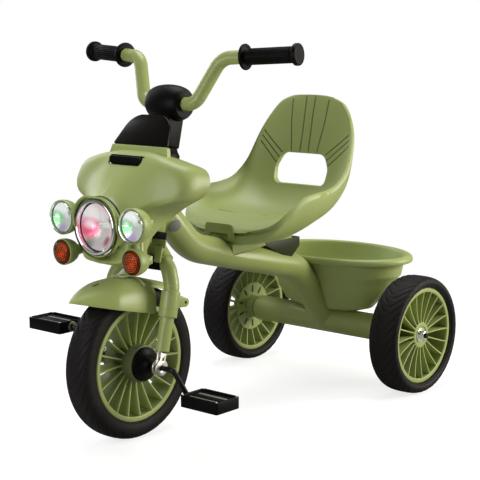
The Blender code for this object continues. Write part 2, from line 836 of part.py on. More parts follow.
def handlebar(parent):
    corners = []
    for sign in (-1, 1):
        top, along = bar_end(sign)
        reach = (GRIP_START_X - abs(top.x)) / abs(along.x) + GRIP_LENGTH - 0.0055
        side = [top + along * reach, top, Vector((sign * 0.0555, 0, BAR_HEIGHT))]
        corners += side if sign < 0 else reversed(side)
    path = bent_path(corners, [0.030, 0.024, 0.024, 0.030], math.radians(20))
    tube("handlebar", path, BAR_RADIUS, green_paint, parent, 5)


def grip(side, sign, parent):
    top, along = bar_end(sign)
    start = top + along * ((GRIP_START_X - abs(top.x)) / abs(along.x))
    bore = (BAR_RADIUS + GAP) / math.cos(math.pi / 12)
    end = GRIP_LENGTH
    profile = [
        (0, end),
        (GRIP_RADIUS + GRIP_KNOB - 0.0017, end),
        (GRIP_RADIUS + GRIP_KNOB, end - 0.0050),
        (GRIP_RADIUS, end - 0.010),
        (GRIP_RADIUS, 0.007),
        (GRIP_RADIUS + GRIP_FLANGE, 0.004),
        (GRIP_RADIUS + GRIP_FLANGE, 0),
        (bore, 0),
        (bore, end - 0.0045),
        (0, end - 0.0045),
    ]
    turn = Vector((0, 0, 1)).rotation_difference(along).to_matrix().to_4x4()
    turned(f"grip_{side}", profile, black_plastic, parent, 12, Matrix.Translation(start) @ turn)


# Fairing

def hood_point(angle, radius, y):
    """A point on the headlight hood, in the steering frame. The lamp looks straight ahead."""
    z = LAMP_ABOVE_AXLE + radius * math.cos(angle)
    return Vector(
        (
            radius * math.sin(angle),
            math.cos(RAKE) * y - math.sin(RAKE) * z,
            math.sin(RAKE) * y + math.cos(RAKE) * z,
        )
    )


def fairing_height(down):
    """The height of a point drawn so far under the fairing's top. The part round the lamp stays with
    the lamp, and the part above it is stretched between the two."""
    top = STEM_LOW - 0.0145
    lamp = hood_point(0, 0, LAMP_Y).z
    upper = LAMP_UNDER_TOP - LAMP_ZONE
    if down < upper:
        return top - down / upper * (top - lamp - LAMP_ZONE)
    return lamp + LAMP_UNDER_TOP - down


def chin_half_width(height):
    """Half the room inside the chin, which narrows downwards, at a height on the steering axis."""
    under_lamp = hood_point(0, 0, LAMP_Y).z - height
    return 0.0470 - 0.143 * under_lamp


def fairing_rows():
    """Half outlines from the top centre round the wing to the chin, from the rear rim to the hood.
    Each point is its place across and along, and how far it lies under the top."""
    rear = [
        (0, -0.012, 0),
        (0.035, -0.012, 0.0015),
        (0.078, -0.012, 0.0095),
        (0.1125, -0.012, 0.0195),
        (0.1225, -0.012, 0.0420),
        (0.1130, -0.012, 0.0590),
        (0.0800, -0.010, 0.0770),
        (0.0560, -0.014, 0.0980),
        (0.0500, -0.044, 0.1300),
        (0.0430, -0.058, 0.1775),
        (0, -0.062, 0.1830),
    ]
    edge = [
        (0, -0.048, -0.0010),
        (0.035, -0.048, 0.0005),
        (0.078, -0.051, 0.0105),
        (0.1120, -0.049, 0.0220),
        (0.1240, -0.046, 0.0480),
        (0.1170, -0.046, 0.0690),
        (0.0850, -0.045, 0.0810),
        (0.0580, -0.045, 0.1000),
        (0.0505, -0.059, 0.1330),
        (0.0440, -0.072, 0.1785),
        (0, -0.078, 0.1840),
    ]
    brow = [
        (0, -0.0715, 0.0080),
        (0.034, -0.0715, 0.0080),
        (0.072, -0.0740, 0.0180),
        (0.101, -0.0705, 0.0320),
        (0.1145, -0.0665, 0.0560),
        (0.1060, -0.0670, 0.0735),
        (0.0820, -0.0680, 0.0830),
        (0.0590, -0.0700, 0.1010),
        (0.0505, -0.0760, 0.1350),
        (0.0445, -0.0840, 0.1770),
        (0, -0.0920, 0.1835),
    ]
    face = [
        (0, -0.0850, 0.0300),
        (0.033, -0.0855, 0.0330),
        (0.058, -0.0850, 0.0480),
        (0.071, -0.0830, 0.0650),
        (0.075, -0.0820, 0.0800),
        (0.070, -0.0810, 0.0880),
        (0.062, -0.0810, 0.0970),
        (0.0540, -0.0850, 0.1110),
        (0.0495, -0.0900, 0.1340),
        (0.0440, -0.0955, 0.1740),
        (0, -0.1030, 0.1825),
    ]
    drawn = [[(x, y, fairing_height(down)) for x, y, down in row] for row in (rear, edge, brow, face)]
    around = [math.radians(angle) for angle in (0, 21, 39, 52, 62, 70, 78, 88, 108, 144, 180)]
    neck = [hood_point(angle, HOOD_RADIUS + 0.0008, LAMP_Y + 0.017) for angle in around]
    lip = []
    for angle in around:
        lift = max(0.0, math.cos(0.85 * angle)) ** 0.5
        corner = 0.0045 * max(0.0, math.sin(2 * angle)) if angle < math.pi / 2 else 0.0
        lip.append(hood_point(angle, HOOD_RADIUS + corner, LAMP_Y + 0.001 - HOOD_VISOR * lift))
    return [*drawn, neck, lip]


def fairing(parent):
    """One moulded shell, open behind and at the headlight, with a ledge, a vent slot and its wings."""
    half_rows = [smooth_through(row, FAIRING_AROUND) for row in fairing_rows()]
    columns = [
        smooth_through([row[index] for row in half_rows], FAIRING_ACROSS)
        for index in range(FAIRING_AROUND + 1)
    ]

    bm = bmesh.new()
    around = [*range(FAIRING_AROUND + 1), *range(1 - FAIRING_AROUND, 0)]
    grid = []
    for index in around:
        column = columns[abs(index)]
        side = -1 if index < 0 else 1
        grid.append([bm.verts.new((side * point.x, point.y, point.z)) for point in column])
    for first, second in zip(grid, grid[1:] + grid[:1]):
        for row in range(len(first) - 1):
            bm.faces.new((first[row], first[row + 1], second[row + 1], second[row]))
    bmesh.ops.recalc_face_normals(bm, faces=bm.faces)
    bm.faces.ensure_lookup_table()
    crest = min(bm.faces, key=lambda face: (face.calc_center_median() - Vector((0, -0.03, 1))).length)
    if crest.normal.z < 0:
        bmesh.ops.reverse_faces(bm, faces=bm.faces)
    mesh = bpy.data.meshes.new("fairing")
    bm.to_mesh(mesh)
    bm.free()
    made = place(mesh, "fairing", green_plastic, parent)
    wall = made.modifiers.new("Wall", "SOLIDIFY")
    wall.thickness = FAIRING_WALL
    wall.offset = -1
    wall.use_even_offset = False

    ledge_top = STEM_LOW - 0.0065
    ledge = box(
        "fairing_ledge", (0.1264, 0.0105, 0.0170), (0, -0.0495, ledge_top - 0.0085), None, parent
    )
    slot_y, slot_z = -0.0785, STEM_LOW - 0.0340
    lean = Matrix.Translation((0, slot_y, slot_z)) @ Matrix.Rotation(math.radians(22), 4, "X")
    opening = rounded([(-0.0352, -0.0066), (0.0352, -0.0066), (0.0352, 0.0066), (-0.0352, 0.0066)], 0.004)
    slot = plate("vent_slot", opening, 0.030, None, parent, lean @ FRONT_PLANE)
    bush_room = cylinder(
        "fairing_bush_room",
        UPPER_BUSH_RADIUS + 0.0025,
        (0, 0, HEAD_HIGH - 0.03),
        (0, 0, STEM_LOW + 0.03),
        None,
        parent,
    )
    join(made, ledge)
    cut(made, slot, bush_room)
    inset = [(x * (1 - GAP / 0.0352), y * (1 - GAP / 0.0066)) for x, y in opening]
    back = Matrix.Translation((0, slot_y + 0.0005, slot_z)) @ Matrix.Rotation(math.radians(22), 4, "X")
    plate("vent_insert", inset, 0.0040, black_plastic, parent, back @ FRONT_PLANE)

    outline = rounded(
        [(-0.0600, 0), (0.0600, 0), (0.0400, 0.0535), (-0.0400, 0.0535)], [0.004, 0.004, 0.013, 0.013], 3
    )
    stand = Matrix.Translation((0, -0.0506, ledge_top + 0.0014)) @ Matrix.Rotation(
        -math.radians(18.9), 4, "X"
    )
    plate("windshield", outline, 0.0042, smoked, parent, stand @ FRONT_PLANE)


def fairing_bracket(parent, level):
    """An arm from the front of the crown, with a cross plate in the chin and a tab at the headlight."""
    front = -CROWN_HALF_DEPTH - 0.003 - 2 * GAP
    height = CROWN_HIGH - 0.009
    thickness = 0.004
    reach = 0.062
    size = (2 * chin_half_width(height) - 0.0055, 0.022, thickness)
    made = box("fairing_bracket", size, (0, front - reach + 0.014, height), steel, parent)
    arm = box("fairing_bracket_arm", (0.024, reach, thickness), (0, front - reach / 2, height), None, parent)
    tab_y = LAMP_Y + BUCKET_DEPTH + 3 * GAP + 0.0015
    low = from_fork(0, front - 0.050, height).z - FRONT_AXLE_Z
    high = LAMP_ABOVE_AXLE + 0.012
    tab = box(
        "fairing_bracket_tab", (0.024, 0.003, high - low), (0, tab_y, (high + low) / 2), None, level
    )
    join(made, arm, tab)


# Lamps, in a level frame at the front axle's height, looking along -Y

def lamp_matrix(x, height, y=LAMP_Y):
    return Matrix.Translation((x, y, height)) @ ALONG_MINUS_Y


def dome(radius, height, back, steps=3):
    """A lens: a shallow dome in front, flat behind."""
    points = [
        (radius * math.sin(math.pi / 2 * step / steps), height * math.cos(math.pi / 2 * step / steps))
        for step in range(steps + 1)
    ]
    return points + [(radius, -back), (0, -back)]


def headlight(parent):
    matrix = lamp_matrix(0, LAMP_ABOVE_AXLE)
    turned("headlight_lens", dome(LAMP_RADIUS, 0.0105, 0.002), clear, parent, 20, matrix)
    seat = LAMP_RADIUS + GAP
    bezel = [
        (seat, 0.004),
        (seat + 0.0025, 0.0045),
        (BEZEL_RADIUS - 0.0006, 0.001),
        (BEZEL_RADIUS - 0.0006, -0.0023 - GAP),
        (seat, -0.0023 - GAP),
    ]
    turned("headlight_bezel", bezel, chrome, parent, 20, matrix, closed=True)
    rim = -0.0023 - 2 * GAP
    back = -BUCKET_DEPTH
    bucket = [
        (0, back + 0.0025),
        (0.017, back + 0.0025),
        (0.0355, rim - 0.012),
        (0.0380, rim),
        (0.0405, rim),
        (0.0385, rim - 0.012),
        (0.018, back),
        (0, back),
    ]
    turned("headlight_bucket", bucket, black_plastic, parent, 16, matrix)


def side_lamps(side, sign, parent):
    x = sign * AUX_LAMP_X
    matrix = lamp_matrix(x, LAMP_ABOVE_AXLE + AUX_LAMP_ABOVE)
    glass = AUX_LAMP_RADIUS - 0.002
    turned(f"aux_lamp_lens_{side}", dome(glass, 0.009, 0.0015), clear, parent, 14, matrix)
    shell = lamp_shell(AUX_LAMP_RADIUS, glass, AUX_SHELL_DEPTH)
    turned(f"aux_lamp_shell_{side}", shell, green_plastic, parent, 14, matrix)
    matrix = lamp_matrix(x, LAMP_ABOVE_AXLE - TURN_LAMP_BELOW)
    glass = TURN_LAMP_RADIUS
    turned(f"turn_signal_lens_{side}", dome(glass, 0.008, 0.0015), amber, parent, 12, matrix)
    shell = lamp_shell(TURN_LAMP_RADIUS + 0.002, glass, TURN_SHELL_DEPTH)
    turned(f"turn_signal_shell_{side}", shell, green_plastic, parent, 12, matrix)
    lamp_bracket(side, sign, parent)


def lamp_shell(radius, glass, depth):
    """A bullet-shaped shell with a seat for its lens in front and a neck behind."""
    seat = glass + GAP
    return [
        (0, -0.62 * depth),
        (0.46 * radius, -0.58 * depth),
        (seat - 0.0025, -0.0015 - GAP),
        (seat, -0.0015 - GAP),
        (seat, 0.0015),
        (radius, 0.0),
        (0.96 * radius, -0.30 * depth),
        (0.62 * radius, -0.72 * depth),
        (0.0085, -0.85 * depth),
        (0.0085, -depth),
        (0, -depth),
    ]


def lamp_bracket(side, sign, parent):
    """An upright strap bolted to the hood's side, with an arm behind each of its two lamps."""
    strap_x = 0.0618
    boss_start = 0.0523
    x = sign * strap_x
    low = LAMP_ABOVE_AXLE - TURN_LAMP_BELOW
    high = LAMP_ABOVE_AXLE + AUX_LAMP_ABOVE
    back = LAMP_Y + 0.0405
    strap = box(
        f"lamp_bracket_{side}",
        (0.003, 0.012, high - low + 0.0145),
        (x, back, (low + high - 0.0035) / 2),
        green_paint,
        parent,
    )
    boss = cylinder(
        f"bracket_boss_{side}",
        0.0055,
        (sign * boss_start, back, LAMP_ABOVE_AXLE - 0.012),
        (x, back, LAMP_ABOVE_AXLE - 0.012),
        None,
        parent,
        12,
    )
    join(strap, boss)
    for name, height, depth in (("aux", high, AUX_SHELL_DEPTH), ("turn", low, TURN_SHELL_DEPTH)):
        start = LAMP_Y + depth + GAP
        arm = box(
            f"bracket_arm_{name}_{side}",
            (AUX_LAMP_X - strap_x + 0.006, 0.005, 0.012),
            (sign * (AUX_LAMP_X + strap_x + 0.004) / 2, start + 0.0025, height),
            None,
            parent,
        )
        join(strap, arm)


# Frame and what it carries

def main_tube_corners():
    """Head end on the steering axis, the bend under the fairing, the bend under the seat, the axle."""
    low = Vector((0, WHEELBASE, REAR_AXLE_Z))
    seat_bend = low + Vector((0, -SEAT_BEND_AHEAD, SEAT_BEND_ABOVE))
    front_bend = seat_bend + Vector((0, -SEAT_TUBE_LENGTH, SEAT_TUBE_LENGTH * SEAT_TUBE_SLOPE))
    head = from_fork(0, 0, HEAD_LOW + 0.047)
    return [head, front_bend, seat_bend, low]


def main_tube(name, radius, material, parent):
    path = bent_path(main_tube_corners(), [0.10, 0.09], math.radians(14))
    return tube(name, path, radius, material, parent, 8)


def notch_floor(y):
    """The seat pocket's floor, from its low front corner back to the top of the tube."""
    seat_bend = main_tube_corners()[2]
    centre = seat_bend.z + (seat_bend.y - POCKET_FRONT) * SEAT_TUBE_SLOPE
    return centre - 0.0025 + (y - POCKET_FRONT) * 0.07


def frame(parent, head_axis):
    made = main_tube("frame", MAIN_TUBE_RADIUS, green_paint, parent)
    head_ends = (0, 0, HEAD_LOW), (0, 0, HEAD_HIGH)
    head = cylinder("head_tube_form", HEAD_TUBE_RADIUS, *head_ends, None, head_axis, 20)
    axle_tube = cylinder(
        "axle_tube_form",
        AXLE_TUBE_RADIUS,
        (-AXLE_TUBE_HALF, WHEELBASE, REAR_AXLE_Z),
        (AXLE_TUBE_HALF, WHEELBASE, REAR_AXLE_Z),
        None,
        parent,
        20,
    )
    bore_ends = (0, 0, HEAD_LOW - 0.03), (0, 0, HEAD_HIGH + 0.03)
    head_bore = cylinder("head_tube_bore", HEAD_TUBE_BORE, *bore_ends, None, head_axis, 16)
    room = cylinder(
        "lower_bush_room",
        LOWER_BUSH_RADIUS + 0.0012,
        (0, 0, CROWN_LOW),
        (0, 0, HEAD_LOW - GAP / 2),
        None,
        head_axis,
    )
    axle_bore = cylinder(
        "axle_tube_bore",
        AXLE_TUBE_BORE,
        (-AXLE_TUBE_HALF - 0.02, WHEELBASE, REAR_AXLE_Z),
        (AXLE_TUBE_HALF + 0.02, WHEELBASE, REAR_AXLE_Z),
        None,
        parent,
        12,
    )
    front = POCKET_FRONT
    back = front + POCKET_LENGTH
    outline = [
        (front, notch_floor(front)),
        (back, notch_floor(back)),
        (back, notch_floor(back) + 0.05),
        (front - 0.020, notch_floor(back) + 0.05),
        (front - 0.0135, notch_floor(front) + 0.024),
    ]
    notch = plate("seat_notch", outline, 0.08, None, parent, SIDE_PLANE)
    join(made, head, axle_tube)
    cut(made, room, head_bore, axle_bore, notch)


def head_bushes(head_axis):
    """Plastic bushes pressed into the head tube, each with a flange that shows."""
    sleeve = HEAD_TUBE_BORE - GAP
    bore = COLUMN_RADIUS + GAP
    top = HEAD_HIGH + GAP
    upper = [
        (bore, top + UPPER_BUSH_HEIGHT),
        (0.0235, top + UPPER_BUSH_HEIGHT),
        (UPPER_BUSH_RADIUS, top + 0.009),
        (UPPER_BUSH_RADIUS, top),
        (sleeve, top),
        (sleeve, top - 0.016),
        (bore, top - 0.016),
    ]
    turned("head_bush_top", upper, black_plastic, head_axis, 16, closed=True)
    low = HEAD_LOW - GAP
    lower = [
        (bore, low + 0.016),
        (sleeve, low + 0.016),
        (sleeve, low),
        (LOWER_BUSH_RADIUS, low),
        (LOWER_BUSH_RADIUS, low - LOWER_BUSH_HEIGHT + 0.002),
        (LOWER_BUSH_RADIUS - 0.002, low - LOWER_BUSH_HEIGHT),
        (bore, low - LOWER_BUSH_HEIGHT),
    ]
    turned("head_bush_bottom", lower, black_plastic, head_axis, 16, closed=True)


def rear_axle(parent):
    """The through rod with its bushes in the axle tube, washers and nuts outside the wheels."""
    tip = REAR_WHEEL_X + 0.0290
    cylinder(
        "rear_axle",
        REAR_AXLE_RADIUS,
        (-tip, WHEELBASE, REAR_AXLE_Z),
        (tip, WHEELBASE, REAR_AXLE_Z),
        steel,
        parent,
        12,
    )
    bore = REAR_AXLE_RADIUS + GAP
    for side, sign in SIDES.items():
        turn = ALONG_X if sign > 0 else ALONG_X @ Matrix.Rotation(math.pi, 4, "X")
        matrix = Matrix.Translation((0, WHEELBASE, REAR_AXLE_Z)) @ turn
        end = AXLE_TUBE_HALF + GAP
        bush = [
            (bore, end + 0.0045),
            (0.019, end + 0.0045),
            (AXLE_TUBE_RADIUS - 0.001, end + 0.0025),
            (AXLE_TUBE_RADIUS - 0.001, end),
            (AXLE_TUBE_BORE - GAP, end),
            (AXLE_TUBE_BORE - GAP, end - 0.015),
            (bore, end - 0.015),
        ]
        turned(f"axle_bush_{side}", bush, black_plastic, parent, 12, matrix, closed=True)
        face = REAR_WHEEL_X + 0.015 + GAP
        washer = ring_profile(0.0130, bore, face + 0.0015, face)
        turned(f"rear_washer_{side}", washer, steel, parent, 12, matrix, closed=True)
        nut_face = face + 0.0015 + GAP
        thread = bore / math.cos(math.pi / 6)
        nut = [
            (thread, nut_face + 0.008),
            (0.0078, nut_face + 0.008),
            (0.0092, nut_face + 0.0065),
            (0.0092, nut_face),
            (thread, nut_face),
        ]
        turned(f"rear_nut_{side}", nut, steel, parent, 6, matrix, closed=True)


def seat_rows():
    """Stations from the front lip to the top of the back: half width, then (y, z) of the inner
    centre, of the rim and of the outer centre, from a datum on the seat's middle."""
    w = SEAT_HALF_WIDTH
    return [
        (w - 0.0600, -0.0850, 0.0080, -0.0785, 0.0125, -0.0845, 0.0015),
        (w - 0.0230, -0.0760, 0.0165, -0.0620, 0.0250, -0.0755, -0.0105),
        (w - 0.0080, -0.0550, 0.0265, -0.0380, 0.0470, -0.0500, -0.0175),
        (w - 0.0020, -0.0210, 0.0315, -0.0060, 0.0660, -0.0150, -0.0195),
        (w, 0.0110, 0.0190, 0.0240, 0.0715, 0.0190, -0.0155),
        (w - 0.0005, 0.0500, 0.0170, 0.0520, 0.0735, 0.0560, -0.0040),
        (w - 0.0025, 0.0920, 0.0265, 0.0830, 0.0800, 0.1020, 0.0130),
        (w - 0.0040, 0.1225, 0.0520, 0.1090, 0.0960, 0.1340, 0.0430),
        (w - 0.0070, 0.1370, 0.0850, 0.1270, 0.1160, 0.1470, 0.0820),
        (w - 0.0150, 0.1530, 0.1520, 0.1480, 0.1570, 0.1610, 0.1510),
        (w - 0.0290, 0.1600, 0.1870, 0.1610, 0.1890, 0.1670, 0.1870),
        (w - 0.0480, 0.1660, 0.2150, 0.1690, 0.2140, 0.1725, 0.2155),
        (w - 0.0690, 0.1690, 0.2260, 0.1720, 0.2245, 0.1740, 0.2265),
    ]


def seat_ring(half, inner_y, inner_z, rim_y, rim_z, outer_y, outer_z, turn=math.pi, wall=0.0, steps=7):
    """One closed section of the seat: its inner face from side to side, then its outer face back.
    With a smaller turn and a wall it is the section of the room between the two faces."""
    lip = 0.0040
    inner_bow, outer_bow = 0.80, 0.87
    points = []
    for step in range(steps + 1):
        angle = turn * (step / steps - 0.5)
        across = math.copysign(abs(math.sin(angle)) ** inner_bow, angle)
        depth = abs(math.cos(angle)) ** inner_bow
        z = rim_z + (inner_z - rim_z) * depth - wall
        points.append(Vector((half * across, rim_y + (inner_y - rim_y) * depth, z)))
    for step in range(steps + 1):
        angle = turn * (0.5 - step / steps)
        across = math.copysign(abs(math.sin(angle)) ** outer_bow, angle)
        depth = abs(math.cos(angle)) ** outer_bow
        edge_y, edge_z = rim_y + 0.0035, rim_z - 0.0035
        z = edge_z + (outer_z - edge_z) * depth + wall
        points.append(Vector(((half + lip) * across, edge_y + (outer_y - edge_y) * depth, z)))
    return points


def seat(parent, datum):
    """The bucket seat: a lofted shell with a hand opening in its back, a front tab and a foot."""
    seat_frame = new_empty("seat_datum", parent, datum)
    rows = seat_rows()
    made = loft("seat", [seat_ring(*row) for row in rows], green_plastic, seat_frame)
    half_opening = [(0.0560, 0.0690), (0.0590, 0.0980), (0.0430, 0.1240)]
    corners = half_opening + [(-x, z) for x, z in reversed(half_opening)]
    opening = rounded(corners, [0.010, 0.020, 0.016, 0.016, 0.020, 0.010], 2)
    back_plane = Matrix.Translation((0, 0.155, 0)) @ FRONT_PLANE
    hole = plate("seat_opening", opening, 0.10, None, seat_frame, back_plane)
    hollow_rings = [seat_ring(*row, math.radians(104), SEAT_WALL) for row in rows[2:6]]
    hollow = loft("seat_hollow", hollow_rings, None, seat_frame)
    room = (SEAT_HALF_WIDTH + 0.0105, SEAT_HALF_WIDTH, 0.030)
    window = box("seat_window", room, (0, 0.010, -0.0150), None, seat_frame)
    tab_plane = Matrix.Translation((0, -0.0845, 0)) @ FRONT_PLANE
    tab = plate("seat_tab", tab_outline(), SEAT_WALL, None, seat_frame, tab_plane)
    floor_low = notch_floor(datum.y + POCKET_SPLIT) - datum.z + GAP
    front = POCKET_FRONT - datum.y + GAP
    foot_outline = [
        (front, notch_floor(POCKET_FRONT) - datum.z + GAP),
        (POCKET_SPLIT, floor_low),
        (POCKET_SPLIT, BRACKET_TOP),
        (0.086, BRACKET_TOP),
        (0.086, 0.015),
        (-0.042, 0.015),
        (-0.042, -0.012),
        (front, -0.012),
    ]
    foot = plate("seat_foot", foot_outline, 0.044, None, seat_frame, SIDE_PLANE)
    cut(made, hole, hollow, window)
    join(made, tab, foot)


def tab_outline():
    """The front tab: an upright lip with sloping ends and a mouth under it."""
    low, high = -0.0040, 0.0225
    half = [(0.0195, low + 0.009), (0.0235, low), (0.0345, low), (0.0295, high)]
    radii = [0.0030, 0.0008, 0.0008, 0.0060]
    outline = half + [(-x, z) for x, z in reversed(half)]
    return rounded(outline, radii + radii[::-1], 2)


def seat_bracket(parent, datum):
    """The dark channel behind the pocket, between the frame tube and the seat's foot."""
    top = datum.z + BRACKET_TOP - GAP
    front = datum.y + POCKET_SPLIT + GAP
    back = datum.y + 0.111
    outline = [
        (front, top),
        (front, notch_floor(front) + GAP),
        (datum.y + 0.043, datum.z - 0.040),
        (datum.y + 0.077, datum.z - 0.056),
        (datum.y + 0.087, datum.z - 0.057),
        (back, datum.z - 0.038),
        (back, top),
    ]
    width = 0.040
    made = plate("seat_bracket", outline, width, black_plastic, parent, SIDE_PLANE)
    channel = box(
        "seat_bracket_channel", (width - 0.006, 0.30, 0.06), (0, datum.y + 0.240, top - 0.033), None, parent
    )
    saddle = main_tube("seat_bracket_saddle", MAIN_TUBE_RADIUS + GAP, None, parent)
    cut(made, channel, saddle)


def basket(parent):
    """An oval tub with a rolled rim over a small floor on the axle tube: its sides give way to the
    wheels, its back slopes, and a tunnel in its front wall takes the frame tube."""
    low = REAR_AXLE_Z + AXLE_TUBE_RADIUS + GAP
    top = low + BASKET_HEIGHT
    rim_low = top - 0.012
    body_width = BASKET_HALF_WIDTH - BASKET_RIM_OVERHANG
    body_depth = BASKET_HALF_DEPTH - BASKET_END_OVERHANG

    def ring(half_width, half_depth, y, z, sides=20):
        angles = [2 * math.pi * index / sides for index in range(sides)]
        return [
            Vector((half_width * math.cos(angle), WHEELBASE + y + half_depth * math.sin(angle), z))
            for angle in angles
        ]

    def body_ring(wide, deep, back, high, inset=0.0, lift=0.0):
        """A section of the body, given as shares of the way from the floor to the rim's lower edge."""
        return ring(
            BASKET_FLOOR_HALF_WIDTH + (body_width - BASKET_FLOOR_HALF_WIDTH) * wide - inset,
            BASKET_FLOOR_HALF_DEPTH + (body_depth - BASKET_FLOOR_HALF_DEPTH) * deep - inset,
            BASKET_BEHIND_AXLE * back,
            low + (rim_low - low) * high + lift,
        )

    def rim_ring_at(inward, z):
        """A section of the rim, inward from its outermost edge."""
        depth = BASKET_HALF_DEPTH - inward * BASKET_END_OVERHANG / BASKET_RIM_OVERHANG
        return ring(BASKET_HALF_WIDTH - inward, depth, BASKET_BEHIND_AXLE, z)

    wall = BASKET_WALL
    floor = (0.0, 0.0, 0.0, 0.0)
    corner = (0.38, 0.26, 0.10, 0.08)
    side = (0.66, 0.50, 0.32, 0.34)
    crease = (0.815, 0.706, 0.61, 0.581)
    shoulder = (0.966, 0.897, 0.84, 0.731)
    outer = [body_ring(*share) for share in (floor, corner, side, crease, shoulder, (1.0, 1.0, 1.0, 1.0))]
    outer.append(rim_ring_at(0.002, rim_low))
    outer.append(rim_ring_at(0, rim_low + 0.006))
    outer.append(rim_ring_at(0.006, top))
    outer.append(rim_ring_at(BASKET_RIM_WIDTH, top - 0.002))
    made = loft("basket", outer, green_plastic, parent)
    inner = [body_ring(*floor, wall, wall), body_ring(*corner, wall + 0.0008, wall)]
    inner += [body_ring(*share, wall, 0.001) for share in (side, crease, shoulder)]
    inner.append(rim_ring_at(BASKET_RIM_WIDTH + wall / 2, top + 0.01))
    cavity = loft("basket_cavity", inner, None, parent)
    tunnel_wall = main_tube("basket_tunnel_wall", MAIN_TUBE_RADIUS + GAP + wall, None, parent)
    tunnel = main_tube("basket_tunnel", MAIN_TUBE_RADIUS + GAP, None, parent)
    cut(cavity, tunnel_wall)
    cut(made, cavity, tunnel)


# Assembly

clear_scene()
parts = new_collection(MODEL)
cutters = new_collection("cutters")
green_paint = new_material("green_paint", (0.300, 0.360, 0.125), 0.35)
green_plastic = new_material("green_plastic", (0.290, 0.350, 0.120), 0.42)
black_plastic = new_material("black_plastic", (0.020, 0.018, 0.018), 0.45)
rubber = new_material("rubber", (0.018, 0.016, 0.016), 0.75)
steel = new_material("steel", (0.62, 0.62, 0.60), 0.30, 1.0)
zinc = new_material("zinc", (0.75, 0.75, 0.74), 0.38, 1.0)
chrome = new_material("chrome", (0.80, 0.80, 0.82), 0.12, 1.0)
smoked = new_material("smoked_plastic", (0.015, 0.012, 0.012), 0.12)
clear = new_material("clear_lens", (0.85, 0.88, 0.88), 0.05, alpha=0.35)
amber = new_material("amber_lens", (0.32, 0.09, 0.02), 0.2, alpha=0.85)

root = new_empty("tricycle_frame", None, (0, ORIGIN_Y, 0))
head_frame = new_empty("head_axis", root, (0, 0, FRONT_AXLE_Z), -RAKE)
steering = new_empty("steering_axis", head_frame)
level = new_empty("lamp_level", steering, tilt=RAKE)
front_axle = new_empty("front_axle", steering, tilt=RAKE)

frame(root, head_frame)
head_bushes(head_frame)
rear_axle(root)
seat_datum = Vector((0, SEAT_Y, notch_floor(SEAT_Y) + SEAT_ABOVE_POCKET))
seat(root, seat_datum)
seat_bracket(root, seat_datum)
basket(root)

steering_column(steering)
crown(steering)
fender(steering)
fender_bracket(steering)
handlebar_clamp(steering)
handlebar(steering)
fairing(steering)
fairing_bracket(steering, level)
headlight(level)
front_wheel(front_axle)
crank(front_axle)
for side_name, side_sign in SIDES.items():
    fork_side(side_name, side_sign, steering)
    grip(side_name, side_sign, steering)
    side_lamps(side_name, side_sign, level)
    wheel_axis = new_empty(
        f"rear_axis_{side_name}", root, (side_sign * REAR_WHEEL_X, WHEELBASE, REAR_AXLE_Z)
    )
    rear_wheel(side_name, side_sign, wheel_axis)
    spindle = new_empty(
        f"pedal_axis_{side_name}",
        front_axle,
        (0, side_sign * CRANK_THROW_BACK, -side_sign * CRANK_THROW_DOWN),
    )
    pedal(side_name, side_sign, spindle)
    pedal_washer(side_name, side_sign, front_axle)
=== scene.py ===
"""Looks of the tricycle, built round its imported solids.

Metres, +Z up. The tricycle faces -Y and its own left side is +X. Pieces of the steering are drawn in
the fork's frame, whose Z axis is the raked steering axis and whose origin is the front axle.
"""

import json
import math

import bmesh
import bpy
from mathutils import Matrix, Quaternion, Vector
from mathutils.bvhtree import BVHTree


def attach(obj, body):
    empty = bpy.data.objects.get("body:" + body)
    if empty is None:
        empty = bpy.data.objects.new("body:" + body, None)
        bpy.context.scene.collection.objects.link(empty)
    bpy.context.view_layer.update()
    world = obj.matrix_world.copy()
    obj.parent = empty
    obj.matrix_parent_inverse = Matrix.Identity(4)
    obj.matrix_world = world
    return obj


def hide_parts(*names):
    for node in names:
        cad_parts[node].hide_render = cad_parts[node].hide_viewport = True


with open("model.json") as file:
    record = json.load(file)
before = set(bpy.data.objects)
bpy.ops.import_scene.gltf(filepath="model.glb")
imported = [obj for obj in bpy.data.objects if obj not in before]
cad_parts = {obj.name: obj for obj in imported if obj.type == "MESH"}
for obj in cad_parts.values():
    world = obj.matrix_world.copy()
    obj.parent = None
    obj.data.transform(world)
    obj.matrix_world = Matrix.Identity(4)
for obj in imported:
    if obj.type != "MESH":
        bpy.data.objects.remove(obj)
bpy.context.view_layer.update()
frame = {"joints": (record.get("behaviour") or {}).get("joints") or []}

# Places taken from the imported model
joints = {joint["name"]: joint for joint in frame["joints"]}
FRONT_AXLE = Vector(joints["front_wheel_spin"]["pos_m"])
REAR_AXLE = Vector((0, *joints["rear_left_spin"]["pos_m"][1:]))
REAR_WHEEL_X = joints["rear_left_spin"]["pos_m"][0]
STEER = Vector(joints["steering"]["axis"])
RAKE = math.atan2(STEER.y, STEER.z)
THROW = Vector(joints["pedal_left_spin"]["pos_m"]) - FRONT_AXLE
PEDAL_X = THROW.x
THROW.x = 0

FORK = Matrix.Translation(FRONT_AXLE) @ Matrix.Rotation(-RAKE, 4, "X")
LEVEL = Matrix.Translation(FRONT_AXLE)
FLOOR_FRAME = Matrix.Translation((0, FRONT_AXLE.y, 0))
HEAD_AXIS = FLOOR_FRAME.inverted() @ FORK
ALONG_X = Matrix.Rotation(math.pi / 2, 4, "Y")
ALONG_MINUS_Y = Matrix.Rotation(math.pi / 2, 4, "X")
SIDE_PLANE = Matrix(((0, 0, 1, 0), (1, 0, 0, 0), (0, 1, 0, 0), (0, 0, 0, 1)))
SIDES = {"left": 1, "right": -1}
OUTWARD = {1: Matrix(), -1: Matrix.Rotation(math.pi, 4, "Z")}

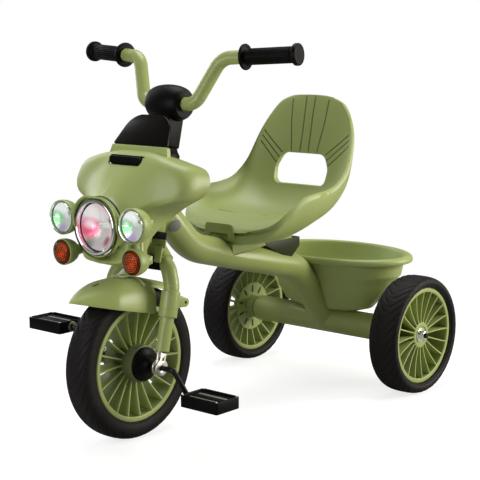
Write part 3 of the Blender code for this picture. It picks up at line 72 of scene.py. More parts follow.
# Sizes shared with the solids
GAP = 0.0003
RIM_WALL = 0.0085
RIM_HALF_WIDTH = 0.022
SPOKE_COUNT = 20
BLADE_SINK = 0.007
CRANK_BORE = 0.0048
REAR_AXLE_BORE = 0.0053
COLUMN_BORE = 0.0113
BUSH_RADIUS = 0.0160
LEG_X = 0.0643
LEG_SCREW_Z = 0.0423
FENDER_LOW = 0.0815
FENDER_NOSE = 0.1525
FENDER_NOSE_LENGTH = 0.066
FENDER_HALF_WIDTH = 0.046
FENDER_TOP = 0.1345
CROWN_LOW = FENDER_TOP + 0.0305
CROWN_HIGH = CROWN_LOW + 0.033
CROWN_HALF_DEPTH = 0.0184
HEAD_LOW = CROWN_HIGH + 0.0126
HEAD_HIGH = HEAD_LOW + 0.1144
STEM_LOW = HEAD_HIGH + 0.0206
BAR_HEIGHT = HEAD_HIGH + 0.0915
GRIP_LENGTH = 0.0975
GRIP_START_X = 0.1293
WHEELBASE = REAR_AXLE.y - FRONT_AXLE.y
AXLE_TUBE_HALF = REAR_WHEEL_X - 0.0355
MAIN_TUBE_RADIUS = 0.0245
PLAIN_TUBE_RADIUS = 0.024
TUBE_SLOPE = 0.2463
SEAT_Y = WHEELBASE - 0.2204
POCKET_FRONT = SEAT_Y - 0.0760
LAMP_Y = -0.0704
LAMP_ABOVE_AXLE = 0.2235
HOOD_RADIUS = 0.0482
AUX_LAMP_X = 0.0770
AUX_LAMP_ABOVE = 0.0085
AUX_LAMP_DEPTH = 0.036
TURN_LAMP_BELOW = 0.0465
TURN_LAMP_DEPTH = 0.034


# Outlines and paths, and builders whose meshes dress() makes finished pieces

def mesh_of(bm, recalc=True):
    bmesh.ops.remove_doubles(bm, verts=bm.verts, dist=1e-6)
    if recalc:
        bmesh.ops.recalc_face_normals(bm, faces=bm.faces)
    mesh = bpy.data.meshes.new("piece")
    bm.to_mesh(mesh)
    bm.free()
    return mesh


def loft(rings, caps=True, loop=False):
    """Rings of points joined one to the next; loop joins the last ring to the first."""
    bm = bmesh.new()
    rows = [[bm.verts.new(point) for point in ring] for ring in rings]
    pairs = list(zip(rows, rows[1:])) + ([(rows[-1], rows[0])] if loop else [])
    for first, second in pairs:
        count = len(first)
        for index in range(count):
            after = (index + 1) % count
            bm.faces.new((first[index], first[after], second[after], second[index]))
    if caps and not loop:
        bm.faces.new(rows[0])
        bm.faces.new(rows[-1])
    return mesh_of(bm)


def full_turn(count):
    """Angles set out evenly round a full turn."""
    return [2 * math.pi * index / count for index in range(count)]


def lathe(profile, sides=64, ring=False):
    """(radius, height) points turned about local Z. A profile that starts and ends on the axis gives a
    closed form, and a ring joins its last point to its first."""
    rings = []
    for radius, height in profile:
        reach = max(radius, 1e-7)
        rings.append([Vector((reach * math.cos(a), reach * math.sin(a), height)) for a in full_turn(sides)])
    return loft(rings, caps=False, loop=ring)


def arc(centre, radius, start, end, steps=6):
    """Points of an arc, with its angles in degrees."""
    made = []
    for step in range(steps + 1):
        angle = math.radians(start + (end - start) * step / steps)
        made.append((centre[0] + radius * math.cos(angle), centre[1] + radius * math.sin(angle)))
    return made


def sweep(path, radius, sides=32):
    """A round bar along a path."""
    path = [Vector(point) for point in path]
    neighbours = zip(path[:1] + path, path[1:] + path[-1:])
    tangents = [(after - before).normalized() for before, after in neighbours]
    across = tangents[0].orthogonal().normalized()
    rings = []
    for point, tangent in zip(path, tangents):
        across = (across - tangent * across.dot(tangent)).normalized()
        up = tangent.cross(across)
        rings.append([point + radius * (math.cos(a) * across + math.sin(a) * up) for a in full_turn(sides)])
    return loft(rings)


def bent_path(corners, bends, step=math.radians(5)):
    """Straight runs between the corners with an arc of the given radius at each inner corner."""
    corners = [Vector(corner) for corner in corners]
    path = [corners[0]]
    for before, corner, after, radius in zip(corners, corners[1:], corners[2:], bends):
        back = (before - corner).normalized()
        ahead = (after - corner).normalized()
        turn = math.pi - back.angle(ahead)
        start = corner + back * radius * math.tan(turn / 2)
        centre = corner + (back + ahead).normalized() * radius / math.cos(turn / 2)
        axis = back.cross(ahead).normalized() * -1
        count = max(2, math.ceil(turn / step))
        for index in range(count + 1):
            path.append(centre + Quaternion(axis, turn * index / count) @ (start - centre))
    path.append(corners[-1])
    return path


def smooth_through(values, count):
    """count + 1 points on a smooth curve through a list of vectors."""
    values = [Vector(value) for value in values]
    values = [2 * values[0] - values[1], *values, 2 * values[-1] - values[-2]]
    spans = len(values) - 3
    made = []
    for index in range(count + 1):
        along = min(index * spans / count, spans - 1e-9)
        cell = int(along)
        t = along - cell
        a, b, c, d = values[cell : cell + 4]
        made.append(
            0.5 * (2 * b + (c - a) * t + (2 * a - 5 * b + 4 * c - d) * t**2 + (3 * b - a - 3 * c + d) * t**3)
        )
    return made


def rounded(outline, radii, steps=8):
    """A closed outline whose corners are arcs."""
    made = []
    for index, size in enumerate(radii):
        corner = Vector(outline[index])
        before = (Vector(outline[index - 1]) - corner).normalized()
        after = (Vector(outline[(index + 1) % len(outline)]) - corner).normalized()
        half = before.angle(after) / 2
        centre = corner + (before + after).normalized() * size / math.sin(half)
        first = corner + before * size / math.tan(half) - centre
        sign = 1 if before.cross(after) < 0 else -1
        for step in range(steps + 1):
            turn = sign * (math.pi - 2 * half) * step / steps
            made.append(centre + Matrix.Rotation(turn, 2) @ first)
    return made


def plate(outline, thickness):
    """A flat outline in local XY with half its thickness on each side."""
    return loft([[Vector((x, y, z)) for x, y in outline] for z in (-thickness / 2, thickness / 2)])


def block(size, centre=(0, 0, 0)):
    bm = bmesh.new()
    bmesh.ops.create_cube(bm, size=1)
    bmesh.ops.scale(bm, vec=size, verts=bm.verts)
    bmesh.ops.translate(bm, vec=centre, verts=bm.verts)
    return mesh_of(bm)


def rod(radius, start, end, sides=48):
    return sweep([start, end], radius, sides)


def moved(mesh, matrix):
    mesh.transform(matrix)
    if matrix.determinant() < 0:
        mesh.flip_normals()
    return mesh


def new_object(name, data):
    made = bpy.data.objects.new(name, data)
    bpy.context.scene.collection.objects.link(made)
    return made


def evaluated(mesh, *modifiers):
    """The mesh after a list of (kind, settings) modifiers."""
    holder = new_object("holder", mesh)
    for kind, settings in modifiers:
        modifier = holder.modifiers.new(kind, kind)
        for name, value in settings.items():
            setattr(modifier, name, value)
    graph = bpy.context.evaluated_depsgraph_get()
    made = bpy.data.meshes.new_from_object(holder.evaluated_get(graph))
    bpy.data.objects.remove(holder, do_unlink=True)
    return made


def combined(mesh, others, operation):
    for other in others:
        cutter = new_object("cutter", other)
        mesh = evaluated(mesh, ("BOOLEAN", {"operation": operation, "object": cutter, "solver": "EXACT"}))
        bpy.data.objects.remove(cutter, do_unlink=True)
    return mesh


def carved(mesh, *others):
    return combined(mesh, others, "DIFFERENCE")


def welded(mesh, *others):
    return combined(mesh, others, "UNION")


def softened(mesh, width, segments=3, angle=30):
    """The mesh with its edges rounded."""
    settings = {
        "width": width, "segments": segments, "limit_method": "ANGLE",
        "angle_limit": math.radians(angle), "harden_normals": False,
    }
    return evaluated(mesh, ("BEVEL", settings))


def turned(profile, sides, matrix):
    """A profile turned to a hollow ring about local Z, then put in its place."""
    return moved(lathe(profile, sides, ring=True), matrix)


def gathered(meshes):
    """Several meshes as one."""
    bm = bmesh.new()
    for mesh in meshes:
        bm.from_mesh(mesh)
    made = bpy.data.meshes.new("piece")
    bm.to_mesh(made)
    bm.free()
    return made


def dress(name, mesh, body, material, stands_for=(), crisp=35):
    """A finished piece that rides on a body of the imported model. Its edges sharper than the crisp
    angle stay sharp."""
    mesh.name = name
    mesh.materials.clear()
    mesh.materials.append(material)
    mesh.shade_smooth()
    mesh.set_sharp_from_angle(angle=math.radians(crisp))
    piece = new_object(name, mesh)
    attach(piece, body)
    if stands_for:
        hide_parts(*stands_for)
    return piece


# Shader groups and materials

def new_group(name, inputs, outputs, kind="ShaderNodeTree"):
    """A node group with its input and output nodes; inputs are (name, kind, value)."""
    group = bpy.data.node_groups.new(name, kind)
    for label, socket_kind, value in inputs:
        socket = group.interface.new_socket(name=label, in_out="INPUT", socket_type=socket_kind)
        if value is not None:
            socket.default_value = value
    for label, socket_kind in outputs:
        group.interface.new_socket(name=label, in_out="OUTPUT", socket_type=socket_kind)
    return group, group.nodes.new("NodeGroupInput"), group.nodes.new("NodeGroupOutput")


def wire(source, output, target, socket):
    """A link from one node's output to another node's input, both in one tree."""
    source.id_data.links.new(source.outputs[output], target.inputs[socket])


def set_node(tree, kind, operation=None, **values):
    """A node with an operation and constant values on its numbered or named sockets."""
    node = tree.nodes.new(kind)
    if operation:
        node.operation = operation
    for label, value in values.items():
        key = int(label[1:]) if label[0] == "n" and label[1:].isdigit() else label.replace("_", " ")
        node.inputs[key].default_value = value
    return node


def colour_mix(tree, factor, first, second):
    """A colour between two others; each of the three is a socket or a value."""
    node = set_node(tree, "ShaderNodeMix")
    node.data_type = "RGBA"
    for index, given in ((0, factor), (6, first), (7, second)):
        if isinstance(given, bpy.types.NodeSocket):
            tree.links.new(given, node.inputs[index])
        else:
            node.inputs[index].default_value = given
    return node.outputs[2]


def drift_group():
    """Slow changes of tone over a moulded or painted surface: a lighter and a darker cloud."""
    group, start, end = new_group(
        "tone_drift",
        [("Colour", "NodeSocketColor", (0.5, 0.5, 0.5, 1)), ("Amount", "NodeSocketFloat", 0.06),
         ("Scale", "NodeSocketFloat", 9.0)],
        [("Colour", "NodeSocketColor")],
    )
    place = set_node(group, "ShaderNodeTexCoord")
    cloud = set_node(group, "ShaderNodeTexNoise", Detail=3.0)
    level = set_node(group, "ShaderNodeMapRange", From_Min=0.3, From_Max=0.7, To_Min=-1.0)
    size = set_node(group, "ShaderNodeMath", "MULTIPLY_ADD", n2=1.0)
    shade = set_node(group, "ShaderNodeHueSaturation")
    wire(place, "Object", cloud, "Vector")
    wire(start, "Scale", cloud, "Scale")
    wire(cloud, "Fac", level, "Value")
    wire(level, "Result", size, 0)
    wire(start, "Amount", size, 1)
    wire(size, "Value", shade, "Value")
    wire(start, "Colour", shade, "Color")
    wire(shade, "Color", end, "Colour")
    return group


def grain_group():
    """A fine moulded grain as a normal, with a mask that roughens the surface in patches."""
    group, start, end = new_group(
        "moulded_grain",
        [("Depth", "NodeSocketFloat", 0.1), ("Scale", "NodeSocketFloat", 900.0),
         ("Base Roughness", "NodeSocketFloat", 0.4), ("Spread", "NodeSocketFloat", 0.08)],
        [("Normal", "NodeSocketVector"), ("Roughness", "NodeSocketFloat")],
    )
    place = set_node(group, "ShaderNodeTexCoord")
    grain = set_node(group, "ShaderNodeTexNoise", Detail=2.0)
    bump = set_node(group, "ShaderNodeBump", Distance=0.0002)
    patch = set_node(group, "ShaderNodeTexNoise", Scale=22.0, Detail=4.0)
    offset = set_node(group, "ShaderNodeMath", "SUBTRACT", n1=0.5)
    spread = set_node(group, "ShaderNodeMath", "MULTIPLY_ADD")
    wire(place, "Object", grain, "Vector")
    wire(place, "Object", patch, "Vector")
    wire(start, "Scale", grain, "Scale")
    wire(grain, "Fac", bump, "Height")
    wire(start, "Depth", bump, "Strength")
    wire(bump, "Normal", end, "Normal")
    wire(patch, "Fac", offset, 0)
    wire(offset, "Value", spread, 0)
    wire(start, "Spread", spread, 1)
    wire(start, "Base Roughness", spread, 2)
    wire(spread, "Value", end, "Roughness")
    return group


def wear_and_highlight_group():
    """Edges a little paler than the faces, in patches: partly wear, partly a painted highlight where edges
    catch the light. The edges are where the rounded normal leaves the real one.
    """
    group, start, end = new_group(
        "edge_wear_and_highlight",
        [("Colour", "NodeSocketColor", (0.5, 0.5, 0.5, 1)),
         ("Worn Colour", "NodeSocketColor", (0.7, 0.7, 0.7, 1)),
         ("Width", "NodeSocketFloat", 0.0012), ("Amount", "NodeSocketFloat", 0.3)],
        [("Colour", "NodeSocketColor"), ("Mask", "NodeSocketFloat")],
    )
    real = set_node(group, "ShaderNodeNewGeometry")
    rounded_normal = set_node(group, "ShaderNodeBevel")
    rounded_normal.samples = 3
    alike = set_node(group, "ShaderNodeVectorMath", "DOT_PRODUCT")
    edge = set_node(group, "ShaderNodeMapRange", From_Min=0.985, From_Max=0.80)
    place = set_node(group, "ShaderNodeTexCoord")
    patch = set_node(group, "ShaderNodeTexNoise", Scale=60.0, Detail=3.0)
    broken = set_node(group, "ShaderNodeMapRange", From_Min=0.38, From_Max=0.62)
    both = set_node(group, "ShaderNodeMath", "MULTIPLY")
    amount = set_node(group, "ShaderNodeMath", "MULTIPLY")
    wire(start, "Width", rounded_normal, "Radius")
    wire(rounded_normal, "Normal", alike, 0)
    wire(real, "Normal", alike, 1)
    wire(alike, "Value", edge, "Value")
    wire(place, "Object", patch, "Vector")
    wire(patch, "Fac", broken, "Value")
    wire(edge, "Result", both, 0)
    wire(broken, "Result", both, 1)
    wire(both, "Value", amount, 0)
    wire(start, "Amount", amount, 1)
    mixed = colour_mix(group, amount.outputs["Value"], start.outputs["Colour"], start.outputs["Worn Colour"])
    group.links.new(mixed, end.inputs["Colour"])
    wire(amount, "Value", end, "Mask")
    return group


def dust_group():
    """A thin settled dust on faces that look up, thicker in patches."""
    group, start, end = new_group(
        "settled_dust",
        [("Colour", "NodeSocketColor", (0.5, 0.5, 0.5, 1)),
         ("Dust", "NodeSocketColor", (0.42, 0.40, 0.36, 1)),
         ("Amount", "NodeSocketFloat", 0.05)],
        [("Colour", "NodeSocketColor")],
    )
    real = set_node(group, "ShaderNodeNewGeometry")
    parts = set_node(group, "ShaderNodeSeparateXYZ")
    upward = set_node(group, "ShaderNodeMapRange", From_Min=0.35, From_Max=0.95)
    place = set_node(group, "ShaderNodeTexCoord")
    patch = set_node(group, "ShaderNodeTexNoise", Scale=14.0, Detail=5.0)
    both = set_node(group, "ShaderNodeMath", "MULTIPLY")
    amount = set_node(group, "ShaderNodeMath", "MULTIPLY")
    wire(real, "Normal", parts, "Vector")
    wire(parts, "Z", upward, "Value")
    wire(place, "Object", patch, "Vector")
    wire(upward, "Result", both, 0)
    wire(patch, "Fac", both, 1)
    wire(both, "Value", amount, 0)
    wire(start, "Amount", amount, 1)
    mixed = colour_mix(group, amount.outputs["Value"], start.outputs["Colour"], start.outputs["Dust"])
    group.links.new(mixed, end.inputs["Colour"])
    return group


def spot_group():
    """How near a place on a lamp's face is to a spot: one inside it, nothing outside."""
    group, start, end = new_group(
        "round_spot",
        [("Place", "NodeSocketVector", (0.0, 0.0, 0.0)), ("Centre", "NodeSocketVector", (0.5, 0.5, 0.0)),
         ("Inner", "NodeSocketFloat", 0.05), ("Outer", "NodeSocketFloat", 0.3),
         ("Strength", "NodeSocketFloat", 1.0)],
        [("Mask", "NodeSocketFloat")],
    )
    away = set_node(group, "ShaderNodeVectorMath", "DISTANCE")
    near = set_node(group, "ShaderNodeMapRange", To_Min=1.0, To_Max=0.0)
    near.interpolation_type = "SMOOTHSTEP"
    amount = set_node(group, "ShaderNodeMath", "MULTIPLY")
    wire(start, "Place", away, 0)
    wire(start, "Centre", away, 1)
    wire(away, "Value", near, "Value")
    wire(start, "Inner", near, "From Min")
    wire(start, "Outer", near, "From Max")
    wire(near, "Result", amount, 0)
    wire(start, "Strength", amount, 1)
    wire(amount, "Value", end, "Mask")
    return group


def new_material(name):
    material = bpy.data.materials.new(name)
    material.use_nodes = True
    return material, material.node_tree


def group_node(tree, group, **values):
    node = set_node(tree, "ShaderNodeGroup")
    node.node_tree = group
    for label, value in values.items():
        node.inputs[label.replace("_", " ")].default_value = value
    return node


def finish(name, colour, roughness, drift=0.05, grain=0.08, scale=900.0, spread=0.08, worn_and_lit=None, wear_and_highlight=0.25,
           dust=0.04, **sockets):
    """A material of the shared groups, with constant values for the shader's other sockets."""
    material, tree = new_material(name)
    shader = tree.nodes["Principled BSDF"]
    worn_and_lit = worn_and_lit or tuple(min(1.0, 1.25 * part + 0.03) for part in colour)
    tone = group_node(tree, TONE_DRIFT, Colour=(*colour, 1), Amount=drift)
    # Paler edges: partly wear, partly a painted highlight where the edges catch the light
    edges = group_node(tree, EDGE_WEAR_AND_HIGHLIGHT, Worn_Colour=(*worn_and_lit, 1), Amount=wear_and_highlight)
    dusty = group_node(tree, SETTLED_DUST, Amount=dust)
    surface = group_node(tree, MOULDED_GRAIN, Depth=grain, Scale=scale, Base_Roughness=roughness,
                         Spread=spread)
    wire(tone, "Colour", edges, "Colour")
    wire(edges, "Colour", dusty, "Colour")
    wire(dusty, "Colour", shader, "Base Color")
    wire(surface, "Roughness", shader, "Roughness")
    wire(surface, "Normal", shader, "Normal")
    for socket, value in sockets.items():
        shader.inputs[socket.replace("_", " ")].default_value = value
    return material


def lamp_bowl(name, base, spots, glow):
    """A reflector seen through its lens: a base colour with coloured spots that paint the lit bulb and the
    reflections, highlights and shade in it, all of it glowing a little. Each spot is (colour, centre on
    the face, inner radius, outer radius, strength)."""
    material, tree = new_material(name)
    shader = tree.nodes["Principled BSDF"]
    face = set_node(tree, "ShaderNodeUVMap")
    face.uv_map = "face"
    grain = set_node(tree, "ShaderNodeTexNoise", Scale=30.0, Detail=2.0)
    wire(face, "UV", grain, "Vector")
    darker = tuple(0.72 * part for part in base)
    colour = colour_mix(tree, grain.outputs["Fac"], (*base, 1), (*darker, 1))
    for tint, centre, inner, outer, strength in spots:
        spot = group_node(tree, ROUND_SPOT, Centre=(*centre, 0), Inner=inner, Outer=outer, Strength=strength)
        wire(face, "UV", spot, "Place")
        colour = colour_mix(tree, spot.outputs["Mask"], colour, (*tint, 1))
    tree.links.new(colour, shader.inputs["Base Color"])
    tree.links.new(colour, shader.inputs["Emission Color"])
    shader.inputs["Emission Strength"].default_value = glow
    shader.inputs["Metallic"].default_value = 0.5
    shader.inputs["Roughness"].default_value = 0.22
    return material


def glass(name, tint, mirror, roughness=0.03):
    """A clear or coloured lens: the light passes tinted, and the face mirrors more at its edge."""
    material, tree = new_material(name)
    tree.nodes.remove(tree.nodes["Principled BSDF"])
    place = set_node(tree, "ShaderNodeTexCoord")
    cloud = set_node(tree, "ShaderNodeTexNoise", Scale=45.0, Detail=2.0)
    wire(place, "Object", cloud, "Vector")
    deeper = tuple(0.86 * part for part in tint)
    colour = colour_mix(tree, cloud.outputs["Fac"], (*tint, 1), (*deeper, 1))
    through = set_node(tree, "ShaderNodeBsdfTransparent")
    face = set_node(tree, "ShaderNodeBsdfGlossy", Roughness=roughness)
    edge = set_node(tree, "ShaderNodeLayerWeight", Blend=mirror)
    whole = set_node(tree, "ShaderNodeMixShader")
    tree.links.new(colour, through.inputs["Color"])
    facing = set_node(tree, "ShaderNodeNewGeometry")
    front_only = set_node(tree, "ShaderNodeMath", "SUBTRACT", n0=1.0)
    share = set_node(tree, "ShaderNodeMath", "MULTIPLY")
    wire(facing, "Backfacing", front_only, 1)
    wire(edge, "Fresnel", share, 0)
    wire(front_only, "Value", share, 1)
    wire(share, "Value", whole, "Fac")
    wire(through, "BSDF", whole, 1)
    wire(face, "BSDF", whole, 2)
    wire(whole, "Shader", tree.nodes["Material Output"], "Surface")
    return material


TONE_DRIFT = drift_group()
MOULDED_GRAIN = grain_group()
EDGE_WEAR_AND_HIGHLIGHT = wear_and_highlight_group()
SETTLED_DUST = dust_group()
ROUND_SPOT = spot_group()
# Finishes: colour and roughness, then how much tone drift, grain, grain scale and roughness spread
green_plastic = finish("green_plastic", (0.312, 0.374, 0.118), 0.42, 0.04, 0.05)
green_paint = finish("green_paint", (0.308, 0.364, 0.114), 0.34, 0.03, 0.03, 500.0, 0.05)
# A dark green: painted shade in the seat's grooves, and the colour of the front hub's barrel
green_shade = finish("green_shade", (0.110, 0.135, 0.048), 0.50, 0.06, 0.05)
# A very dark green: painted shade in the fender's dimple and in the hood round the headlight; the seat's
# bracket and the turn lamps' rings have it too
dark_green_and_shade = finish("dark_green_and_shade", (0.024, 0.030, 0.012), 0.50, 0.10, 0.10, Specular_IOR_Level=0.25)
black_plastic = finish("black_plastic", (0.0026, 0.0021, 0.0021), 0.44, 0.12, 0.25, worn_and_lit=(0.02, 0.02, 0.02),
                       dust=0.004, Specular_IOR_Level=0.09)
black_paint = finish("black_paint", (0.0040, 0.0034, 0.0036), 0.28, 0.10, 0.05, worn_and_lit=(0.04, 0.04, 0.04),
                     dust=0.008, Specular_IOR_Level=0.30)
grey_plastic = finish("grey_plastic", (0.20, 0.20, 0.19), 0.50, 0.06, 0.12)
rubber = finish("rubber", (0.0068, 0.0050, 0.0050), 0.58, 0.25, 0.5, 1400.0, 0.15, worn_and_lit=(0.035, 0.028, 0.025),
                dust=0.012, Specular_IOR_Level=0.18)
steel = finish("steel", (0.58, 0.58, 0.56), 0.30, 0.08, 0.1, 700.0, 0.1, Metallic=1.0)
zinc = finish("zinc", (0.80, 0.78, 0.72), 0.34, 0.08, 0.1, 300.0, 0.1, Metallic=1.0)
chrome = finish("chrome", (0.86, 0.86, 0.88), 0.10, 0.02, 0.0, 300.0, 0.04, wear_and_highlight=0.0, dust=0.0, Metallic=1.0)
# The windshield's pale edges are a painted highlight
smoked = finish("smoked", (0.0030, 0.0020, 0.0016), 0.20, 0.05, 0.0, worn_and_lit=(0.12, 0.12, 0.11), wear_and_highlight=0.8,
                dust=0.0, Specular_IOR_Level=0.20)
clear = glass("clear_glass", (0.97, 0.98, 0.98), 0.30)
amber = glass("amber_glass", (0.86, 0.40, 0.10), 0.16, 0.08)
amber_bead = finish("amber_bead", (0.42, 0.20, 0.08), 0.18, 0.10, 0.0, wear_and_highlight=0.0, dust=0.0)
# Reflectors: each spot is a colour, its centre on the face, inner and outer radius, and strength; the spots
# paint the lit bulb and the reflections, highlights and shade in each reflector
headlight_bowl = lamp_bowl(
    "headlight_bowl", (0.62, 0.60, 0.57),
    [
        ((0.95, 0.93, 0.92), (0.22, 0.78), 0.10, 0.34, 0.85),
        ((0.56, 0.44, 0.72), (-0.06, 0.60), 0.05, 0.26, 0.85),
        ((0.10, 0.11, 0.06), (0.16, 0.08), 0.04, 0.22, 0.85),
        ((0.07, 0.06, 0.06), (0.66, 0.62), 0.03, 0.10, 0.85),
        ((0.16, 0.05, 0.06), (0.62, 0.20), 0.04, 0.14, 0.85),
        ((0.90, 0.10, 0.22), (0.16, 0.44), 0.10, 0.28, 0.95),
        ((1.0, 0.80, 0.86), (0.16, 0.52), 0.02, 0.15, 1.0),
    ],
    glow=0.60,
)
aux_bowl = lamp_bowl(
    "aux_bowl", (0.66, 0.67, 0.64),
    [
        ((0.96, 0.97, 0.95), (0.30, 0.86), 0.12, 0.46, 0.95),
        ((0.05, 0.05, 0.06), (0.66, 0.62), 0.02, 0.09, 0.7),
        ((0.42, 0.30, 0.58), (0.42, 0.14), 0.04, 0.26, 0.8),
        ((0.06, 0.12, 0.07), (0.04, 0.20), 0.03, 0.22, 0.7),
        ((0.16, 0.58, 0.20), (0.20, 0.46), 0.08, 0.28, 0.9),
        ((0.80, 1.0, 0.82), (0.20, 0.52), 0.01, 0.12, 1.0),
    ],
    glow=0.60,
)
turn_bowl = lamp_bowl(
    "turn_bowl", (0.75, 0.52, 0.30),
    [
        ((1.0, 0.85, 0.6), (0.40, 0.65), 0.05, 0.22, 0.8),
        ((0.25, 0.08, 0.02), (0.70, 0.35), 0.05, 0.35, 0.8),
    ],
    glow=0.15,
)


# Geometry Nodes: one shape set out round an axis

def around_tree():
    """Copies of an object round local X, realised, with their material."""
    tree, start, end = new_group(
        "set_out_round_axis",
        [("Geometry", "NodeSocketGeometry", None), ("Shape", "NodeSocketObject", None),
         ("Count", "NodeSocketInt", SPOKE_COUNT), ("Finish", "NodeSocketMaterial", None)],
        [("Geometry", "NodeSocketGeometry")],
        "GeometryNodeTree",
    )
    line = set_node(tree, "GeometryNodeMeshLine", Offset=(0, 0, 0))
    shape = set_node(tree, "GeometryNodeObjectInfo")
    index = set_node(tree, "GeometryNodeInputIndex")
    share = set_node(tree, "ShaderNodeMath", "DIVIDE")
    turn = set_node(tree, "ShaderNodeMath", "MULTIPLY", n1=2 * math.pi)
    angles = set_node(tree, "ShaderNodeCombineXYZ")
    copies = set_node(tree, "GeometryNodeInstanceOnPoints")
    real = set_node(tree, "GeometryNodeRealizeInstances")
    paint = set_node(tree, "GeometryNodeSetMaterial")
    wire(start, "Count", line, "Count")
    wire(start, "Shape", shape, "Object")
    wire(index, "Index", share, 0)
    wire(start, "Count", share, 1)
    wire(share, "Value", turn, 0)
    wire(turn, "Value", angles, "X")
    wire(line, "Mesh", copies, "Points")
    wire(shape, "Geometry", copies, "Instance")
    wire(angles, "Vector", copies, "Rotation")
    wire(copies, "Instances", real, "Geometry")
    wire(real, "Geometry", paint, "Geometry")
    wire(start, "Finish", paint, "Material")
    wire(paint, "Geometry", end, "Geometry")
    return tree


def set_out_round(mesh, count, material):
    """The mesh repeated count times round local X, as one mesh."""
    shape = new_object("shape", mesh)
    holder = new_object("holder", bpy.data.meshes.new("holder"))
    modifier = holder.modifiers.new("Set out", "NODES")
    modifier.node_group = AROUND
    given = {"Shape": shape, "Count": count, "Finish": material}
    for item in AROUND.interface.items_tree:
        if item.in_out == "INPUT" and item.name in given:
            modifier[item.identifier] = given[item.name]
    graph = bpy.context.evaluated_depsgraph_get()
    made = bpy.data.meshes.new_from_object(holder.evaluated_get(graph))
    bpy.data.objects.remove(holder, do_unlink=True)
    bpy.data.objects.remove(shape, do_unlink=True)
    return made


AROUND = around_tree()


# Wheels

def tyre(name, centre, radius, width, rim_radius, body, node):
    """A solid tyre with round shoulders, a bead line, a narrow groove on each side of its middle and
    curved slanted sipes."""
    depth = radius - rim_radius
    belly = rim_radius + 0.45 * depth
    half = width / 2
    side = [(rim_radius, 0.80 * half), (rim_radius + 0.0006, 0.86 * half)]
    side += [(rim_radius + 0.0022, 0.875 * half), (rim_radius + 0.0028, 0.92 * half)]
    for step in range(1, 6):
        share = step / 6
        side.append((rim_radius + 0.0028 + (belly - rim_radius - 0.0028) * share,
                     half * (0.92 + 0.08 * math.sin(share * math.pi / 2))))
    for step in range(25):
        angle = math.pi / 2 * step / 24
        side.append((belly + (radius - belly) * math.sin(angle) ** 0.78, half * math.cos(angle) ** 0.62))
    profile = side + [(r, -x) for r, x in reversed(side[:-1])]
    sides, sipe_count, sipe_depth, slant = 432, 36, 0.0015, 1.9
    rings = []
    for r, x in profile:
        ring = []
        crown = max(0.0, min(1.0, (r - radius + 0.016) / 0.006))
        across = abs(x) / half
        for index in range(sides):
            turn = index / sides
            lane = (turn * sipe_count + slant * across**1.6 + (0.5 if x < 0 else 0)) % 1.0
            sipe = max(0.0, 1 - abs(lane - 0.5) / 0.105) if across > 0.10 else 0.0
            groove = 1.0 if 0.045 < across < 0.10 else 0.0
            reach = r - sipe_depth * crown * min(1.0, 1.6 * sipe + groove)
            angle = 2 * math.pi * turn
            ring.append(Vector((x, reach * math.cos(angle), reach * math.sin(angle))))
        rings.append(ring)
    mesh = loft(rings, caps=False, loop=True)
    return dress(name, moved(mesh, Matrix.Translation(centre)), body, rubber, [node])


def rim_ring(radius):
    """The band that carries the tyre, with a rounded lip on each side."""
    half = RIM_HALF_WIDTH
    inner = radius - RIM_WALL
    lip = 0.0022
    profile = arc((radius - lip, half - lip), lip, 0, 90, 5) + arc((inner + lip, half - lip), lip, 90, 180, 5)
    profile += [(inner + 0.0012, half - 0.008), (inner + 0.0026, 0)]
    profile += [(r, -x) for r, x in reversed(profile[:-1])]
    return turned(profile, 160, ALONG_X)


def blade(inner, outer, inner_half, shift):
    """One spoke: a flat blade across the wheel, whose edges curve in to the hub. The shift moves its hub
    end outwards."""
    thickness = 0.0024
    outer_half = RIM_HALF_WIDTH - 0.0004
    rim_side, far_side = [], []
    for step in range(13):
        share = step / 12
        half = inner_half + (outer_half - inner_half) * share**1.5
        x = shift * (1 - share) ** 1.5
        reach = inner + (outer - inner) * share
        rim_side.append((x + half, reach))
        far_side.append((x - half, reach))
    outline = rim_side + far_side[::-1]
    lie = Matrix(((1, 0, 0, 0), (0, 0, -1, 0), (0, 1, 0, 0), (0, 0, 0, 1)))
    return softened(moved(plate(outline, thickness), lie), 0.0006, 2, 60)


def front_wheel():
    """Tyre, rim with its blades, the hub's barrel and its two black covers."""
    radius, tyre_width, hub_radius, hub_end = 0.0947, 0.050, 0.0285, 0.030
    tyre("tyre_front", FRONT_AXLE, FRONT_AXLE.z, tyre_width, radius, "front_wheel", "front_tyre")
    spoke = blade(hub_radius, radius - BLADE_SINK, 0.0125, 0)
    spokes = set_out_round(spoke, SPOKE_COUNT, green_plastic)
    mesh = moved(gathered([rim_ring(radius), spokes]), LEVEL)
    dress("rim_front", mesh, "front_wheel", green_plastic, ["front_rim"])
    lip = 0.0015
    hub = [(CRANK_BORE, hub_end), (hub_radius, hub_end)]
    hub += arc((hub_radius, hub_end - lip), lip, 90, 0, 4) + [(hub_radius + 0.0005, 0)]
    hub += arc((hub_radius, lip - hub_end), lip, 0, -90, 4) + [(CRANK_BORE, -hub_end)]
    barrel = turned(hub, 96, LEVEL @ ALONG_X)
    dress("barrel_front", barrel, "front_wheel", green_shade)
    cone = [(CRANK_BORE, 0.0473), (0.0094, 0.0473)] + arc((0.0094, 0.0461), 0.0012, 90, 20, 4)
    cone += [(0.0122, 0.0425), (0.0145, 0.0393), (0.0172, 0.0371), (0.0215, 0.0355), (0.0252, 0.0343)]
    cone += arc((0.0259, 0.0330), 0.0013, 90, 0, 4) + [(0.0274, 0.0303), (CRANK_BORE, 0.0303)]
    for side, sign in SIDES.items():
        cover = turned(cone, 72, LEVEL @ OUTWARD[sign] @ ALONG_X)
        dress(f"cover_{side}", cover, "front_wheel", black_plastic, [f"hub_cover_{side}"])


